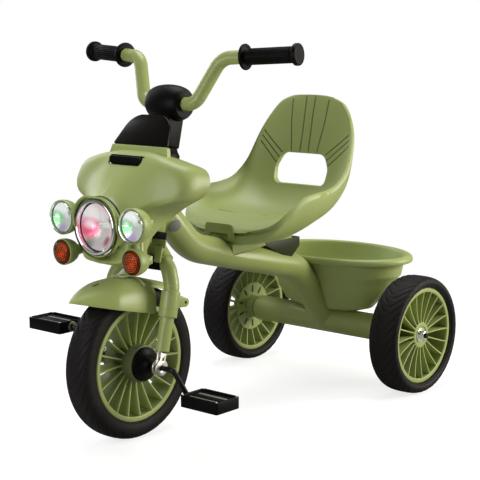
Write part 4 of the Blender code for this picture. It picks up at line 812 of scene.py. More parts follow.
def rear_wheel(side, sign):
    """A tyre, and a rim whose blades stand further out at the hub, with a slotted web on its inner
    side."""
    radius, tyre_width = 0.0862, 0.057
    centre = Vector((sign * REAR_WHEEL_X, REAR_AXLE.y, REAR_AXLE.z))
    body = f"rear_wheel_{side}"
    tyre(f"tyre_rear_{side}", centre, REAR_AXLE.z, tyre_width, radius, body, f"rear_tyre_{side}")
    face = Matrix.Translation(centre) @ OUTWARD[sign]
    spoke = blade(0.021, radius - BLADE_SINK, 0.012, 0.004)
    spokes = set_out_round(spoke, SPOKE_COUNT, green_plastic)
    inner_end = -0.0301
    hub = [(REAR_AXLE_BORE, 0.015), (0.0150, 0.015), (0.0165, 0.0165), (0.0215, 0.0165)]
    hub += arc((0.0215, 0.0150), 0.0015, 90, 0, 4)
    hub += [(0.0225, -0.011), (0.0184, inner_end), (REAR_AXLE_BORE, inner_end)]
    barrel = turned(hub, 80, ALONG_X)
    web = [(0.0220, -0.0105), (0.0460, -0.0120), (0.0470, -0.0130), (0.0460, -0.0140), (0.0220, -0.0140)]
    slot = softened(block((0.02, 0.0052, 0.0150), (-0.0125, 0, 0.0345)), 0.0022, 3)
    slots = set_out_round(slot, SPOKE_COUNT // 2, green_plastic)
    disc = carved(turned(web, 96, ALONG_X), slots)
    mesh = moved(gathered([rim_ring(radius), spokes, barrel, disc]), face)
    dress(f"rim_rear_{side}", mesh, body, green_plastic, [f"rear_rim_{side}"])


def rear_axle():
    """The rod with its bevelled black tips, chrome washers and nuts, and the bushes of its tube."""
    pieces = []
    for side, sign in SIDES.items():
        turn = Matrix.Translation(REAR_AXLE) @ OUTWARD[sign] @ ALONG_X
        tip = [(0.0, REAR_WHEEL_X + 0.0289), (0.0036, REAR_WHEEL_X + 0.0289), (0.0049, REAR_WHEEL_X + 0.0276)]
        tip += [(0.0049, 0.0), (0.0, 0.0)]
        pieces.append(moved(lathe(tip, 32), turn))
        face = REAR_WHEEL_X + 0.015 + GAP
        washer = [(REAR_AXLE_BORE, face + 0.0014)] + arc((0.0124, face + 0.0009), 0.0005, 90, 0, 3)
        washer += [(0.0129, face), (REAR_AXLE_BORE, face)]
        mesh = turned(washer, 48, turn)
        dress(f"washer_rear_{side}", mesh, "frame", chrome, [f"rear_washer_{side}"])
        start = face + 0.0018
        nut = [(REAR_AXLE_BORE, start + 0.008), (0.0080, start + 0.008), (0.0092, start + 0.0068),
               (0.0092, start), (REAR_AXLE_BORE, start)]
        nut = softened(turned(nut, 6, turn), 0.0003, 2)
        dress(f"nut_rear_{side}", nut, "frame", chrome, [f"rear_nut_{side}"])
        end = AXLE_TUBE_HALF + GAP
        bush = [(REAR_AXLE_BORE, end + 0.0045), (0.019, end + 0.0045), (0.0228, end + 0.0026),
                (0.0230, end + 0.0020), (0.0230, end), (0.0207, end), (0.0207, end - 0.015),
                (REAR_AXLE_BORE, end - 0.015)]
        mesh = turned(bush, 64, turn)
        dress(f"bush_axle_{side}", mesh, "frame", black_plastic, [f"axle_bush_{side}"])
    dress("axle_rear", gathered(pieces), "frame", black_paint, ["rear_axle"])


# Crank and pedals

def crank():
    """One bent rod with a spindle for each pedal, and the washer between each arm and its pedal."""
    outer = 0.179
    arm, lean = 0.0972, 0.003
    corners = [
        Vector((-outer, 0, 0)) - THROW,
        Vector((-arm - lean, 0, 0)) - THROW,
        Vector((lean - arm, 0, 0)),
        Vector((arm - lean, 0, 0)),
        Vector((arm + lean, 0, 0)) + THROW,
        Vector((outer, 0, 0)) + THROW,
    ]
    mesh = sweep(bent_path(corners, [0.0057] * 4, math.radians(9)), 0.0044, 28)
    dress("crank_rod", moved(mesh, LEVEL), "front_wheel", black_paint, ["crank"])
    for side, sign in SIDES.items():
        inner = 0.1067
        disc = [(CRANK_BORE, inner + 0.0015), (0.0082, inner + 0.0015), (0.0085, inner + 0.0012),
                (0.0085, inner + 0.0003), (0.0082, inner), (CRANK_BORE, inner)]
        place = Matrix.Translation(sign * THROW) @ OUTWARD[sign] @ ALONG_X
        mesh = turned(disc, 40, LEVEL @ place)
        dress(f"washer_pedal_{side}", mesh, "front_wheel", steel, [f"pedal_washer_{side}"])


def screw_head(radius, height, sides=28):
    """A button head with a round recess, standing on local Z = 0."""
    deep = 0.55 * height
    key = 0.42 * radius
    cap = [(0.0, height - deep), (key, height - deep), (key, height)]
    cap += arc((0.0, 0.0), radius, 62, 8, 6)
    cap = [(r, min(height, z * height / (0.883 * radius))) for r, z in cap]
    return lathe(cap + [(radius, 0.0), (0.0, 0.0)], sides)


def pedal(side, sign):
    """An open frame with ridged treads, two bars, a spindle sleeve with narrow grey plates beside it,
    and a bolt head in each corner."""
    length, width, height, wall = 0.0765, 0.0540, 0.019, 0.0036
    outline = rounded([(-length / 2, -width / 2), (length / 2, -width / 2),
                       (length / 2, width / 2), (-length / 2, width / 2)], [0.004] * 4, 5)
    inside = [(x * (1 - 2 * wall / length), y * (1 - 2 * wall / width)) for x, y in outline]
    frame_form = softened(carved(plate(outline, height), plate(inside, 2 * height)), 0.0007, 2, 40)
    ridge = (0.0022, wall - 0.0012, 0.0010)
    ridges = []
    for row in (-1, 1):
        for level in (-1, 1):
            for index in range(13):
                x = (index - 6) * (length - 0.010) / 12
                ridges.append(block(ridge, (x, row * (width - wall) / 2, level * 0.0090)))
    bar = (length - wall, 0.0030, 0.0140)
    bars = [softened(block(bar, (0, row * 0.0165, 0)), 0.0006, 2) for row in (-1, 1)]
    sleeve = softened(block((length - wall, 0.0150, 0.0135), (0, 0, 0)), 0.0035, 3)
    outside = (-sign * 0.06, 0, 0)
    sleeve = carved(sleeve, rod(CRANK_BORE, outside, (sign * (length / 2 - 0.0045), 0, 0), 32))
    frame_form = carved(frame_form, rod(CRANK_BORE, outside, (0, 0, 0), 32))
    centre = Matrix.Translation(FRONT_AXLE + Vector((sign * PEDAL_X, sign * THROW.y, sign * THROW.z)))
    mesh = moved(gathered([frame_form, sleeve, *bars, *ridges]), centre)
    body = f"pedal_{side}"
    dress(f"pedal_frame_{side}", mesh, body, black_plastic, [f"pedal_{side}"])
    plate_size = (length - 0.0105, 0.0078, 0.0016)
    plates = [softened(block(plate_size, (0, row * 0.0118, level * 0.0045)), 0.0003, 1)
              for row in (-1, 1) for level in (-1, 1)]
    dress(f"pedal_plates_{side}", moved(gathered(plates), centre), body, grey_plastic)
    bolts = []
    for x in (-1, 1):
        for y in (-1, 1):
            corner = (x * (length / 2 - 0.0036), y * (width / 2 - 0.0036), 0.0093)
            bolts.append(moved(screw_head(0.0017, 0.0009, 16), Matrix.Translation(corner)))
    dress(f"pedal_bolts_{side}", moved(gathered(bolts), centre), body, steel)


# Fork

def fork_side(side, sign):
    """One leg: upper tube, lower tube, sleeve with its lug, screw, and the plated dropout."""
    place = Matrix.Translation((sign * LEG_X, 0, 0))
    corners = [(sign * LEG_X, 0, 0.0923), (sign * LEG_X, 0, CROWN_LOW - 0.036),
               (sign * 0.0525, 0, CROWN_LOW - 0.011), (sign * 0.030, 0, CROWN_LOW + 0.0095)]
    leg = sweep(bent_path(corners, [0.035, 0.028]), 0.0125, 40)
    dress(f"leg_{side}", moved(leg, FORK), "steering", green_paint, [f"fork_leg_{side}"])
    lower = [(0, 0.092), (0.011, 0.092), (0.011, 0.0268), (0.0102, 0.026), (0, 0.026)]
    mesh = moved(lathe(lower, 48), FORK @ place)
    dress(f"leg_lower_{side}", mesh, "steering", green_paint, [f"fork_lower_{side}"])
    high, low = 0.121, 0.080
    rim = 0.0012
    tube = [(0.0128, high)] + arc((0.0150 - rim, high - rim), rim, 90, 0, 4)
    tube += [(0.0150, low + 0.0135), (0.0146, low + 0.0131), (0.0146, low + 0.0123), (0.0150, low + 0.0119)]
    tube += arc((0.0150 - rim, low + rim), rim, 0, -90, 4)
    tube += [(0.0113, low), (0.0113, 0.0915), (0.0128, 0.0915)]
    lug_end, lug_height = 0.0335, high - 0.015
    outline = [(0.0135, high - 0.004), (0.0135, low + 0.015)]
    outline += arc((lug_end, lug_height), 0.0075, -75, 62, 14)
    lug = softened(moved(plate(outline, 0.0100), SIDE_PLANE), 0.0018, 3, 50)
    hole = rod(0.0026, (-0.02, lug_end - 0.001, lug_height), (0.02, lug_end - 0.001, lug_height), 24)
    mesh = moved(carved(gathered([lathe(tube, 48, ring=True), lug]), hole), FORK @ place)
    dress(f"sleeve_{side}", mesh, "steering", green_paint, [f"fork_sleeve_{side}"])
    eye, neck = 0.013, 0.0056
    start = 90 + math.degrees(math.asin(neck / eye))
    outline = arc((0, 0), eye, start, start + 360 - 2 * (start - 90), 30) + [(neck, 0.0257), (-neck, 0.0257)]
    bore = rod(CRANK_BORE, (-0.02, 0, 0), (0.02, 0, 0), 32)
    window = softened(block((0.03, 0.0040, 0.0062), (0, 0, 0.0130)), 0.0016, 3)
    plates = []
    for offset in (-0.0038, 0.0038):
        cheek = moved(plate(outline, 0.0026), Matrix.Translation((offset, 0, 0)) @ SIDE_PLANE)
        plates.append(softened(carved(cheek, bore, window), 0.0004, 2, 50))
    web = block((0.0102, 2 * neck, 0.003), (0, 0, 0.0242))
    mesh = moved(gathered([*plates, web]), FORK @ place)
    dress(f"eye_{side}", mesh, "steering", zinc, [f"dropout_{side}"])
    toward = Matrix.Rotation(-sign * math.radians(38), 4, "Z") @ Matrix.Translation((0, -0.0107, LEG_SCREW_Z))
    screw = moved(screw_head(0.0034, 0.0016), FORK @ place @ toward @ ALONG_MINUS_Y)
    dress(f"leg_screw_{side}", screw, "steering", chrome)


def crown():
    """A block with two sloping shoulders, two small plates in front on each side, a black stop and the
    steering column that stands in it."""
    middle = (CROWN_LOW + CROWN_HIGH) / 2
    mesh = softened(block((0.0408, 0.0368, 0.033), (0, 0, middle)), 0.004, 4)
    for sign in (1, -1):
        inner = (sign * 0.0175, 0, CROWN_LOW + 0.0209)
        outer = (sign * 0.0405, 0, CROWN_LOW - 0.0001)
        mesh = welded(mesh, rod(0.0152, inner, outer, 48))
    dress("crown", moved(softened(mesh, 0.0008, 2, 40), FORK), "steering", green_paint,
          ["fork_crown"])
    front = -CROWN_HALF_DEPTH
    plate_size, plate_at = (0.030, 0.003, 0.013), (0.041, front - 0.0010, CROWN_HIGH - 0.0065)
    tab_size, tab_at = (0.014, 0.003, 0.026), (0.046, front - 0.0035, CROWN_LOW + 0.0100)
    for side, sign in SIDES.items():
        mirror = Matrix.Diagonal((sign, 1, 1, 1))
        pair = [softened(moved(block(*form), mirror), 0.0008, 2)
                for form in ((plate_size, plate_at), (tab_size, tab_at))]
        dress(f"crown_plates_{side}", moved(gathered(pair), FORK), "steering", green_paint)
    stop_size, stop_at = (0.084, 0.016, 0.020), (0, front + 0.0050, CROWN_LOW - 0.0050)
    stop = softened(block(stop_size, stop_at), 0.0015, 3)
    dress("crown_stop", moved(stop, FORK), "steering", black_plastic)
    column = [(0, CROWN_HIGH - 0.0155), (0.0110, CROWN_HIGH - 0.0155), (0.0110, BAR_HEIGHT - 0.0115),
              (0, BAR_HEIGHT - 0.0115)]
    dress("column", moved(lathe(column, 48), FORK), "steering", steel, ["steering_column"])


def fender_crest(y, inset=0.0):
    """The height of the fender's crest at a place along it, or of a face so far under it."""
    share = min(1.0, max(0.0, -y / (FENDER_NOSE - inset)))
    return FENDER_LOW + (FENDER_TOP - inset - FENDER_LOW) * (1 - share**2.35)


def fender_ring(y, half_width, top, low, steps=40):
    """An arch across the fender."""
    points = []
    for step in range(steps + 1):
        angle = math.pi * (step / steps - 0.5)
        x = math.copysign(abs(math.sin(angle)) ** 0.85, angle) * half_width
        points.append(Vector((x, y, low + (top - low) * abs(math.cos(angle)) ** 0.85)))
    return points


def fender_rows(inset, low, steps=40):
    """Arches from the nose back to the full width, then on to above the axle."""
    nose = inset - FENDER_NOSE
    rows = []
    for step in range(steps):
        share = 0.006 + 0.994 * (step / (steps - 1)) ** 1.6
        width = (1 - (1 - share) ** 1.35) * (FENDER_HALF_WIDTH - inset)
        y = nose + share * FENDER_NOSE_LENGTH
        rows.append(fender_ring(y, width, fender_crest(y, inset), low))
    for step in range(1, 13):
        y = nose + FENDER_NOSE_LENGTH + (-0.008 - nose - FENDER_NOSE_LENGTH) * step / 12
        rows.append(fender_ring(y, FENDER_HALF_WIDTH - inset, fender_crest(y, inset), low))
    return rows


def fender():
    """A helmet over the front of the tyre, with a narrow tail between the legs and a dimple in front,
    with a dark disc in it that paints its shade, and the strap that holds it to the crown."""
    wall = 0.003
    hollow = fender_rows(wall, FENDER_LOW - 0.02)
    hollow.append(fender_ring(0.02, FENDER_HALF_WIDTH - wall, FENDER_TOP - wall, FENDER_LOW - 0.02))
    low = FENDER_TOP - 0.013
    tail = [fender_ring(y, half, top, low)
            for y, half, top in ((-0.03, 0.034, FENDER_TOP - 0.0006), (0, 0.034, FENDER_TOP - 0.0006),
                                 (0.030, 0.032, FENDER_TOP - 0.002), (0.048, 0.028, FENDER_TOP - 0.004))]
    arch = fender_ring(0, 0.031, FENDER_TOP - 0.0036, low - wall)
    under = [(0, arch[-1].x)] + [(point.z, point.x) for point in reversed(arch)] + [(0, arch[0].x)]
    under = moved(lathe(under, 160), ALONG_X)
    mesh = carved(welded(loft(fender_rows(0, FENDER_LOW)), loft(tail)), loft(hollow), under)
    y = -0.1010
    crest = fender_crest(y)
    lean = math.atan2(fender_crest(y + 0.002) - fender_crest(y - 0.002), 0.004)
    oval = Matrix.Diagonal((0.0042, 0.0085, 1, 1))
    dimple_at = Matrix.Translation((0, y, crest)) @ Matrix.Rotation(lean, 4, "X")
    dimple = lathe([(0, 0.004), (1.0, 0.004), (1.0, -0.0012), (0.8, -0.0022), (0, -0.0024)], 48)
    mesh = carved(mesh, moved(dimple, dimple_at @ oval))
    mesh = moved(softened(mesh, 0.0007, 2, 50), FORK)
    dress("mudguard", mesh, "steering", green_plastic, ["fender"])
    # A dark disc in the dimple: painted shade
    dimple_shade = lathe([(0, -0.0016), (0.86, -0.0016), (0.90, -0.0020), (0.90, -0.0023), (0, -0.0023)], 40)
    dress("mudguard_plug", moved(dimple_shade, FORK @ dimple_at @ oval), "steering", dark_green_and_shade)
    bracket_front = -CROWN_HALF_DEPTH - GAP
    strap, y_foot = 0.003, -0.058
    foot = fender_crest(y_foot) + GAP
    step = fender_crest(-0.044) + GAP + 0.0006
    outline = [
        (bracket_front, CROWN_HIGH - 0.006), (bracket_front - strap, CROWN_HIGH - 0.006),
        (bracket_front - strap, CROWN_LOW - 0.004), (-0.046, step + strap), (y_foot, foot + strap),
        (y_foot, foot), (-0.044, step), (bracket_front, CROWN_LOW - 0.007),
    ]
    bracket = softened(moved(plate(outline, 0.022), FORK @ SIDE_PLANE), 0.0006, 2, 20)
    dress("mudguard_strap", bracket, "steering", green_paint, ["fender_bracket"])
    bolt = Matrix.Translation((0, bracket_front - strap, CROWN_LOW + 0.0125)) @ ALONG_MINUS_Y
    rivet = Matrix.Translation((0, -0.0525, (foot + step) / 2 + strap)) @ Matrix.Rotation(0.30, 4, "X")
    screws = gathered([moved(screw_head(0.0048, 0.0024), bolt), moved(screw_head(0.0036, 0.0016), rivet)])
    dress("mudguard_screws", moved(screws, FORK), "steering", steel)


# Handlebar

def clamp_barrel():
    """The barrel-shaped cover over the handlebar's middle, and the square cover of the stem under it."""
    half = 0.034
    least = 0.2646
    profile = [(COLUMN_BORE, half), (0.0190, half)]
    for step in range(25):
        share = 1 - step / 12
        swell = math.sqrt(1 - 0.93 * share**2)
        profile.append((0.022 + 0.008 * (swell - least) / (1 - least), share * half))
    profile += [(0.0190, -half), (COLUMN_BORE, -half)]
    mesh = turned(profile, 80, FORK @ Matrix.Translation((0, 0, BAR_HEIGHT)) @ ALONG_X)
    dress("bar_cover", mesh, "steering", black_plastic, ["handlebar_clamp"])
    top = BAR_HEIGHT - 0.0195
    stem = softened(block((0.040, 0.036, top - STEM_LOW), (0, 0, (top + STEM_LOW) / 2)), 0.003, 4)
    dress("stem_box", moved(stem, FORK), "steering", black_plastic, ["stem_cover"])


def bar_end(sign):
    """The bar's outermost bend, and the direction that its end runs in from there."""
    top = Vector((sign * 0.0895, 0.0078, BAR_HEIGHT + 0.0761))
    return top, Vector((sign * 0.0965, 0.0153, 0.0088)).normalized()


def handlebar():
    """One bent tube from grip to grip."""
    corners = []
    for sign in (-1, 1):
        top, along = bar_end(sign)
        reach = (GRIP_START_X - abs(top.x)) / abs(along.x) + GRIP_LENGTH - 0.0055
        side = [top + along * reach, top, Vector((sign * 0.0555, 0, BAR_HEIGHT))]
        corners += side if sign < 0 else reversed(side)
    mesh = sweep(bent_path(corners, [0.030, 0.024, 0.024, 0.030], math.radians(4)), 0.0109, 40)
    dress("bar", moved(mesh, FORK), "steering", green_paint, ["handlebar"])


def grip(side, sign):
    """A moulded grip: a flange, lengthwise flutes and an end knob."""
    top, along = bar_end(sign)
    start = top + along * ((GRIP_START_X - abs(top.x)) / abs(along.x))
    end = GRIP_LENGTH
    body = [(0.0, end), (0.0135, end)] + arc((0.0150, end - 0.0022), 0.0022, 85, 0, 6)
    body += arc((0.0150, end - 0.0058), 0.0022, 0, -85, 6) + [(0.0132, end - 0.0092), (0.0122, end - 0.0108)]
    body += [(0.0122, 0.0085), (0.0138, 0.0064), (0.0180, 0.0052)] + arc((0.0185, 0.0032), 0.0020, 80, 0, 4)
    body += arc((0.0185, 0.0020), 0.0020, 0, -90, 4)
    body += [(COLUMN_BORE, 0.0), (COLUMN_BORE, end - 0.005), (0.0, end - 0.005)]
    flute = softened(block((end - 0.024, 0.0020, 0.0014), (0, 0, 0.0123)), 0.0005, 3)
    flutes = set_out_round(flute, 24, black_plastic)
    flutes = moved(flutes, Matrix.Translation((0, 0, (end - 0.0015) / 2)) @ ALONG_X)
    turn = Vector((0, 0, 1)).rotation_difference(along).to_matrix().to_4x4()
    mesh = moved(gathered([lathe(body, 72), flutes]), FORK @ Matrix.Translation(start) @ turn)
    dress(f"handgrip_{side}", mesh, "steering", black_plastic, [f"grip_{side}"])


# Fairing

def hood_point(angle, radius, y):
    """A point of the lamp's level hood in the fork's frame; the angle starts straight up."""
    z = LAMP_ABOVE_AXLE + radius * math.cos(angle)
    return Vector((radius * math.sin(angle), math.cos(RAKE) * y - math.sin(RAKE) * z,
                   math.sin(RAKE) * y + math.cos(RAKE) * z))


def fairing_height(down):
    """The height of a point so far under the fairing's top; the part round the lamp stays with the lamp."""
    top = STEM_LOW - 0.0145
    lamp = hood_point(0, 0, LAMP_Y).z
    hood_start, hood_above_lamp = 0.0780, 0.0516
    if down < hood_start:
        return top - down / hood_start * (top - lamp - hood_above_lamp)
    return lamp + hood_above_lamp + hood_start - down


# The fairing's half sections from its top round the wing to its chin: x, y and how far under the top
FAIRING_ROWS = {
    "rear": [
        (0, -0.012, 0), (0.035, -0.012, 0.0015), (0.078, -0.012, 0.0095),
        (0.1125, -0.012, 0.0195), (0.1225, -0.012, 0.0420), (0.1130, -0.012, 0.0590),
        (0.0800, -0.010, 0.0770), (0.0560, -0.014, 0.0980), (0.0500, -0.044, 0.1300),
        (0.0430, -0.058, 0.1775), (0, -0.062, 0.1830),
    ],
    "edge": [
        (0, -0.048, -0.0010), (0.035, -0.048, 0.0005), (0.078, -0.051, 0.0105),
        (0.1120, -0.049, 0.0220), (0.1240, -0.046, 0.0480), (0.1170, -0.046, 0.0690),
        (0.0850, -0.045, 0.0810), (0.0580, -0.045, 0.1000), (0.0505, -0.059, 0.1330),
        (0.0440, -0.072, 0.1785), (0, -0.078, 0.1840),
    ],
    "brow": [
        (0, -0.0715, 0.0080), (0.034, -0.0715, 0.0080), (0.072, -0.0740, 0.0180),
        (0.101, -0.0705, 0.0320), (0.1145, -0.0665, 0.0560), (0.1060, -0.0670, 0.0735),
        (0.0820, -0.0680, 0.0830), (0.0590, -0.0700, 0.1010), (0.0505, -0.0760, 0.1350),
        (0.0445, -0.0840, 0.1770), (0, -0.0920, 0.1835),
    ],
    "face": [
        (0, -0.0850, 0.0300), (0.033, -0.0855, 0.0330), (0.058, -0.0850, 0.0480),
        (0.071, -0.0830, 0.0650), (0.075, -0.0820, 0.0800), (0.070, -0.0810, 0.0880),
        (0.062, -0.0810, 0.0970), (0.0540, -0.0850, 0.1110), (0.0495, -0.0900, 0.1340),
        (0.0440, -0.0955, 0.1740), (0, -0.1030, 0.1825),
    ],
}


def fairing_rings():
    """Half outlines from the top centre round the wing to the chin, from the rear rim to the hood's lip."""
    rows = [[(x, y, fairing_height(down)) for x, y, down in row] for row in FAIRING_ROWS.values()]
    around = [math.radians(angle) for angle in (0, 21, 39, 52, 62, 70, 78, 88, 108, 144, 180)]
    rows.append([hood_point(angle, HOOD_RADIUS + 0.0008, LAMP_Y + 0.017) for angle in around])
    lip = []
    for angle in around:
        lift = max(0.0, math.cos(0.85 * angle)) ** 0.5
        corner = 0.0045 * max(0.0, math.sin(2 * angle)) if angle < math.pi / 2 else 0.0
        lip.append(hood_point(angle, HOOD_RADIUS + corner, LAMP_Y + 0.001 - 0.0065 * lift))
    return rows + [lip]


def fairing():
    """One moulded shell, open behind and at the headlight, with a ledge, a vent slot and its wings; the
    slot's black insert, and the windshield on the ledge."""
    across, along = 56, 32
    half_rows = [smooth_through(row, across) for row in fairing_rings()]
    columns = [smooth_through([row[index] for row in half_rows], along) for index in range(across + 1)]
    rings = []
    for step in range(along + 1):
        half = [column[step] for column in columns]
        rings.append(half + [Vector((-p.x, p.y, p.z)) for p in reversed(half[1:-1])])
    skin = loft(rings, caps=False)
    middle = sum((skin.vertices[i].co for i in skin.polygons[0].vertices), Vector()) / 4
    if skin.polygons[0].normal.dot(middle - Vector((0, middle.y, STEM_LOW - 0.07))) < 0:
        skin.flip_normals()
    shell = evaluated(skin, ("SOLIDIFY", {"thickness": 0.003, "offset": -1}))
    ledge_top = STEM_LOW - 0.0065
    sloped = [(-0.0640, -0.0085), (0.0640, -0.0085), (0.0595, 0.0085), (-0.0595, 0.0085)]
    at_ledge = Matrix.Translation((0, -0.0495, ledge_top - 0.0085)) @ ALONG_MINUS_Y
    ledge = softened(moved(plate(sloped, 0.0105), at_ledge), 0.0018, 4)
    slot_lean = Matrix.Rotation(math.radians(22), 4, "X")
    lean = Matrix.Translation((0, -0.0785, STEM_LOW - 0.0340)) @ slot_lean
    slot_x, slot_z = 0.0352, 0.0066
    opening = rounded([(-slot_x, -slot_z), (slot_x, -slot_z), (slot_x, slot_z), (-slot_x, slot_z)],
                      [0.0055] * 4)
    slot = moved(plate(opening, 0.030), lean @ ALONG_MINUS_Y)
    room = rod(0.0315, (0, 0, HEAD_HIGH - 0.03), (0, 0, STEM_LOW + 0.03), 64)
    mesh = carved(welded(shell, ledge), slot, room)
    dress("fairing_shell", moved(mesh, FORK), "steering", green_plastic, ["fairing"])
    inset = [(x * 0.99, y * 0.955) for x, y in opening]
    back = Matrix.Translation((0, -0.0780, STEM_LOW - 0.0340)) @ slot_lean
    backing = [(x * 1.12, y * 1.40 - 0.0024) for x, y in opening]
    behind = back @ Matrix.Translation((0, 0.0052, 0))
    vent = gathered([softened(moved(plate(inset, 0.004), FORK @ back @ ALONG_MINUS_Y), 0.0005, 2),
                     moved(plate(backing, 0.0012), FORK @ behind @ ALONG_MINUS_Y)])
    dress("vent_plate", vent, "steering", black_plastic, ["vent_insert"])
    outline = rounded([(-0.0598, -0.0012), (0.0598, -0.0012), (0.0410, 0.0533), (-0.0410, 0.0533)],
                      [0.003, 0.003, 0.034, 0.034], 18)
    screen_lean = Matrix.Rotation(-math.radians(18.9), 4, "X")
    stand = Matrix.Translation((0, -0.0506, ledge_top + 0.0014)) @ screen_lean
    screen = softened(moved(plate(outline, 0.0042), FORK @ stand @ ALONG_MINUS_Y), 0.0012, 3)
    dress("screen", screen, "steering", smoked, ["windshield"])


def chin_half_width(height):
    """Half the chin's width at a height under the lamp."""
    under_lamp = hood_point(0, 0, LAMP_Y).z - height
    return 0.0470 - 0.143 * under_lamp


def fairing_bracket():
    """The steel arm from the crown with its cross plate in the chin and its tab behind the lamp."""
    front = -CROWN_HALF_DEPTH - 0.003 - 2 * GAP
    height = CROWN_HIGH - 0.009
    cross = block((2 * chin_half_width(height) - 0.0055, 0.022, 0.004), (0, front - 0.048, height))
    arm = block((0.024, 0.062, 0.004), (0, front - 0.031, height))
    mesh = moved(softened(welded(cross, arm), 0.0007, 2, 40), FORK)
    low = (HEAD_AXIS @ Vector((0, front - 0.050, height))).z - FRONT_AXLE.z
    high = LAMP_ABOVE_AXLE + 0.012
    tab = softened(block((0.024, 0.003, high - low), (0, LAMP_Y + 0.0349, (high + low) / 2)), 0.0007, 2)
    dress("chin_bracket", gathered([mesh, moved(tab, LEVEL)]), "steering", steel,
          ["fairing_bracket"])


# Lamps

def face_map(mesh, radius):
    """A map of the lamp's face seen from the front, for the colours of its reflector."""
    layer = mesh.uv_layers.new(name="face")
    for loop in mesh.loops:
        place = mesh.vertices[loop.vertex_index].co
        layer.data[loop.index].uv = (0.5 + 0.5 * place.x / radius, 0.5 + 0.5 * place.y / radius)
    return mesh


def lamp_place(x, height):
    return LEVEL @ Matrix.Translation((x, LAMP_Y, height)) @ ALONG_MINUS_Y


def dome(radius, height, back, steps=14):
    """The profile of a domed lens with a short straight edge."""
    points = []
    for step in range(steps + 1):
        angle = math.pi / 2 * step / steps
        points.append((radius * math.sin(angle), height * math.cos(angle)))
    return points + [(radius, -back), (0, -back)]


def headlight():
    """Bucket, faceted reflector with its bulb, chrome bezel, painted shade in the hood's recess and clear
    lens.
    """
    place = lamp_place(0, LAMP_ABOVE_AXLE)
    rim = -0.0023 - 2 * GAP
    back = -0.0325
    shell = [(0, back + 0.0022), (0.017, back + 0.0022), (0.0352, rim - 0.012), (0.0378, rim)]
    shell += [(0.0402, rim), (0.0404, rim - 0.0008), (0.0385, rim - 0.012), (0.018, back), (0, back)]
    dress("lamp_bucket", moved(lathe(shell, 64), place), "steering", black_plastic,
          ["headlight_bucket"])
    bowl_radius, bowl_floor = 0.0085, -0.0205
    bowl = [(bowl_radius, bowl_floor)]
    for step in range(1, 8):
        share = step / 7
        bowl.append((bowl_radius + 0.0280 * share, bowl_floor + 0.0170 * share**1.7))
    behind = [(r + 0.0003, z - 0.0010) for r, z in reversed(bowl)]
    lens_radius = 0.038
    mesh = face_map(lathe(bowl[::-1] + behind[::-1], 30, ring=True), lens_radius)
    dress("lamp_reflector", moved(mesh, place), "steering", headlight_bowl, crisp=4)
    bulb = [(0, -0.0060)] + arc((0, -0.0105), 0.0048, 85, 0, 8) + [(0.0048, -0.0192)]
    bulb += [(0.0090, -0.0198), (0.0090, -0.0215), (0, -0.0215)]
    mesh = face_map(lathe(bulb, 32), lens_radius)
    dress("lamp_bulb", moved(mesh, place), "steering", headlight_bowl)
    seat_in = 0.0383
    bezel = [(seat_in, 0.0040), (seat_in + 0.0012, 0.0048)] + arc((0.0408, 0.0024), 0.0022, 80, 0, 6)
    bezel += [(0.0430, -0.0026), (seat_in, -0.0026)]
    dress("lamp_bezel", turned(bezel, 96, place), "steering", chrome,
          ["headlight_bezel"])
    # A dark ring in the gap between the bezel and the hood: painted shade of that recess
    hood_shade = [(0.0434, -0.0045), (0.0468, -0.0030), (0.0471, 0.0020), (0.0473, 0.0020), (0.0473, -0.0120),
              (0.0434, -0.0120)]
    dress("lamp_lining", turned(hood_shade, 96, place), "steering", dark_green_and_shade)
    lens = lathe(dome(lens_radius, 0.0105, 0.002), 96)
    dress("lamp_lens", moved(lens, place), "steering", clear, ["headlight_lens"])


def lamp_shell(radius, lens_radius, depth):
    """The profile of a bullet-shaped case, from the bottom of its bowl round its lip to its back."""
    seat_in = lens_radius + GAP
    return [
        (0, -0.62 * depth), (0.46 * radius, -0.58 * depth), (seat_in - 0.0025, -0.0018), (seat_in, -0.0018),
        (seat_in, 0.0012), (seat_in + 0.0004, 0.0016), (radius - 0.0006, 0.0012), (radius, 0.0002),
        (0.995 * radius, -0.12 * depth), (0.96 * radius, -0.30 * depth), (0.88 * radius, -0.47 * depth),
        (0.76 * radius, -0.62 * depth), (0.60 * radius, -0.74 * depth), (0.42 * radius, -0.82 * depth),
        (0.0085, -0.855 * depth), (0.0085, -depth), (0, -depth),
    ]


def side_lamp(name, side, x, height, radius, lens_radius, rise, depth, finishes):
    """A bullet-shaped lamp: shell, dished reflector, thin ring and domed lens."""
    place = lamp_place(x, height)
    bowl_finish, lens_finish, ring_finish = finishes
    shell = moved(lathe(lamp_shell(radius, lens_radius, depth), 64), place)
    dress(f"{name}_case_{side}", shell, "steering", green_plastic, [f"{name}_shell_{side}"])
    dish_floor = -0.0090
    dish = [(0, dish_floor)]
    for step in range(1, 7):
        share = step / 6
        dish.append(((lens_radius - 0.0026) * share, dish_floor + 0.0066 * share**2))
    behind = [(r, z - 0.0006) for r, z in reversed(dish)]
    mesh = face_map(lathe(dish + behind, 24), radius)
    dress(f"{name}_reflector_{side}", moved(mesh, place), "steering", bowl_finish, crisp=4)
    inner, outer = lens_radius - 0.0012, lens_radius - 0.0001
    ring = [(inner, rise * 0.30), (lens_radius - 0.0004, rise * 0.34), (outer, 0.0010), (outer, -0.0004),
            (inner, -0.0004)]
    dress(f"{name}_ring_{side}", turned(ring, 64, place), "steering", ring_finish)
    lens = moved(lathe(dome(lens_radius - 0.0004, rise, 0.0012), 64), place)
    dress(f"{name}_glass_{side}", lens, "steering", lens_finish, [f"{name}_lens_{side}"])


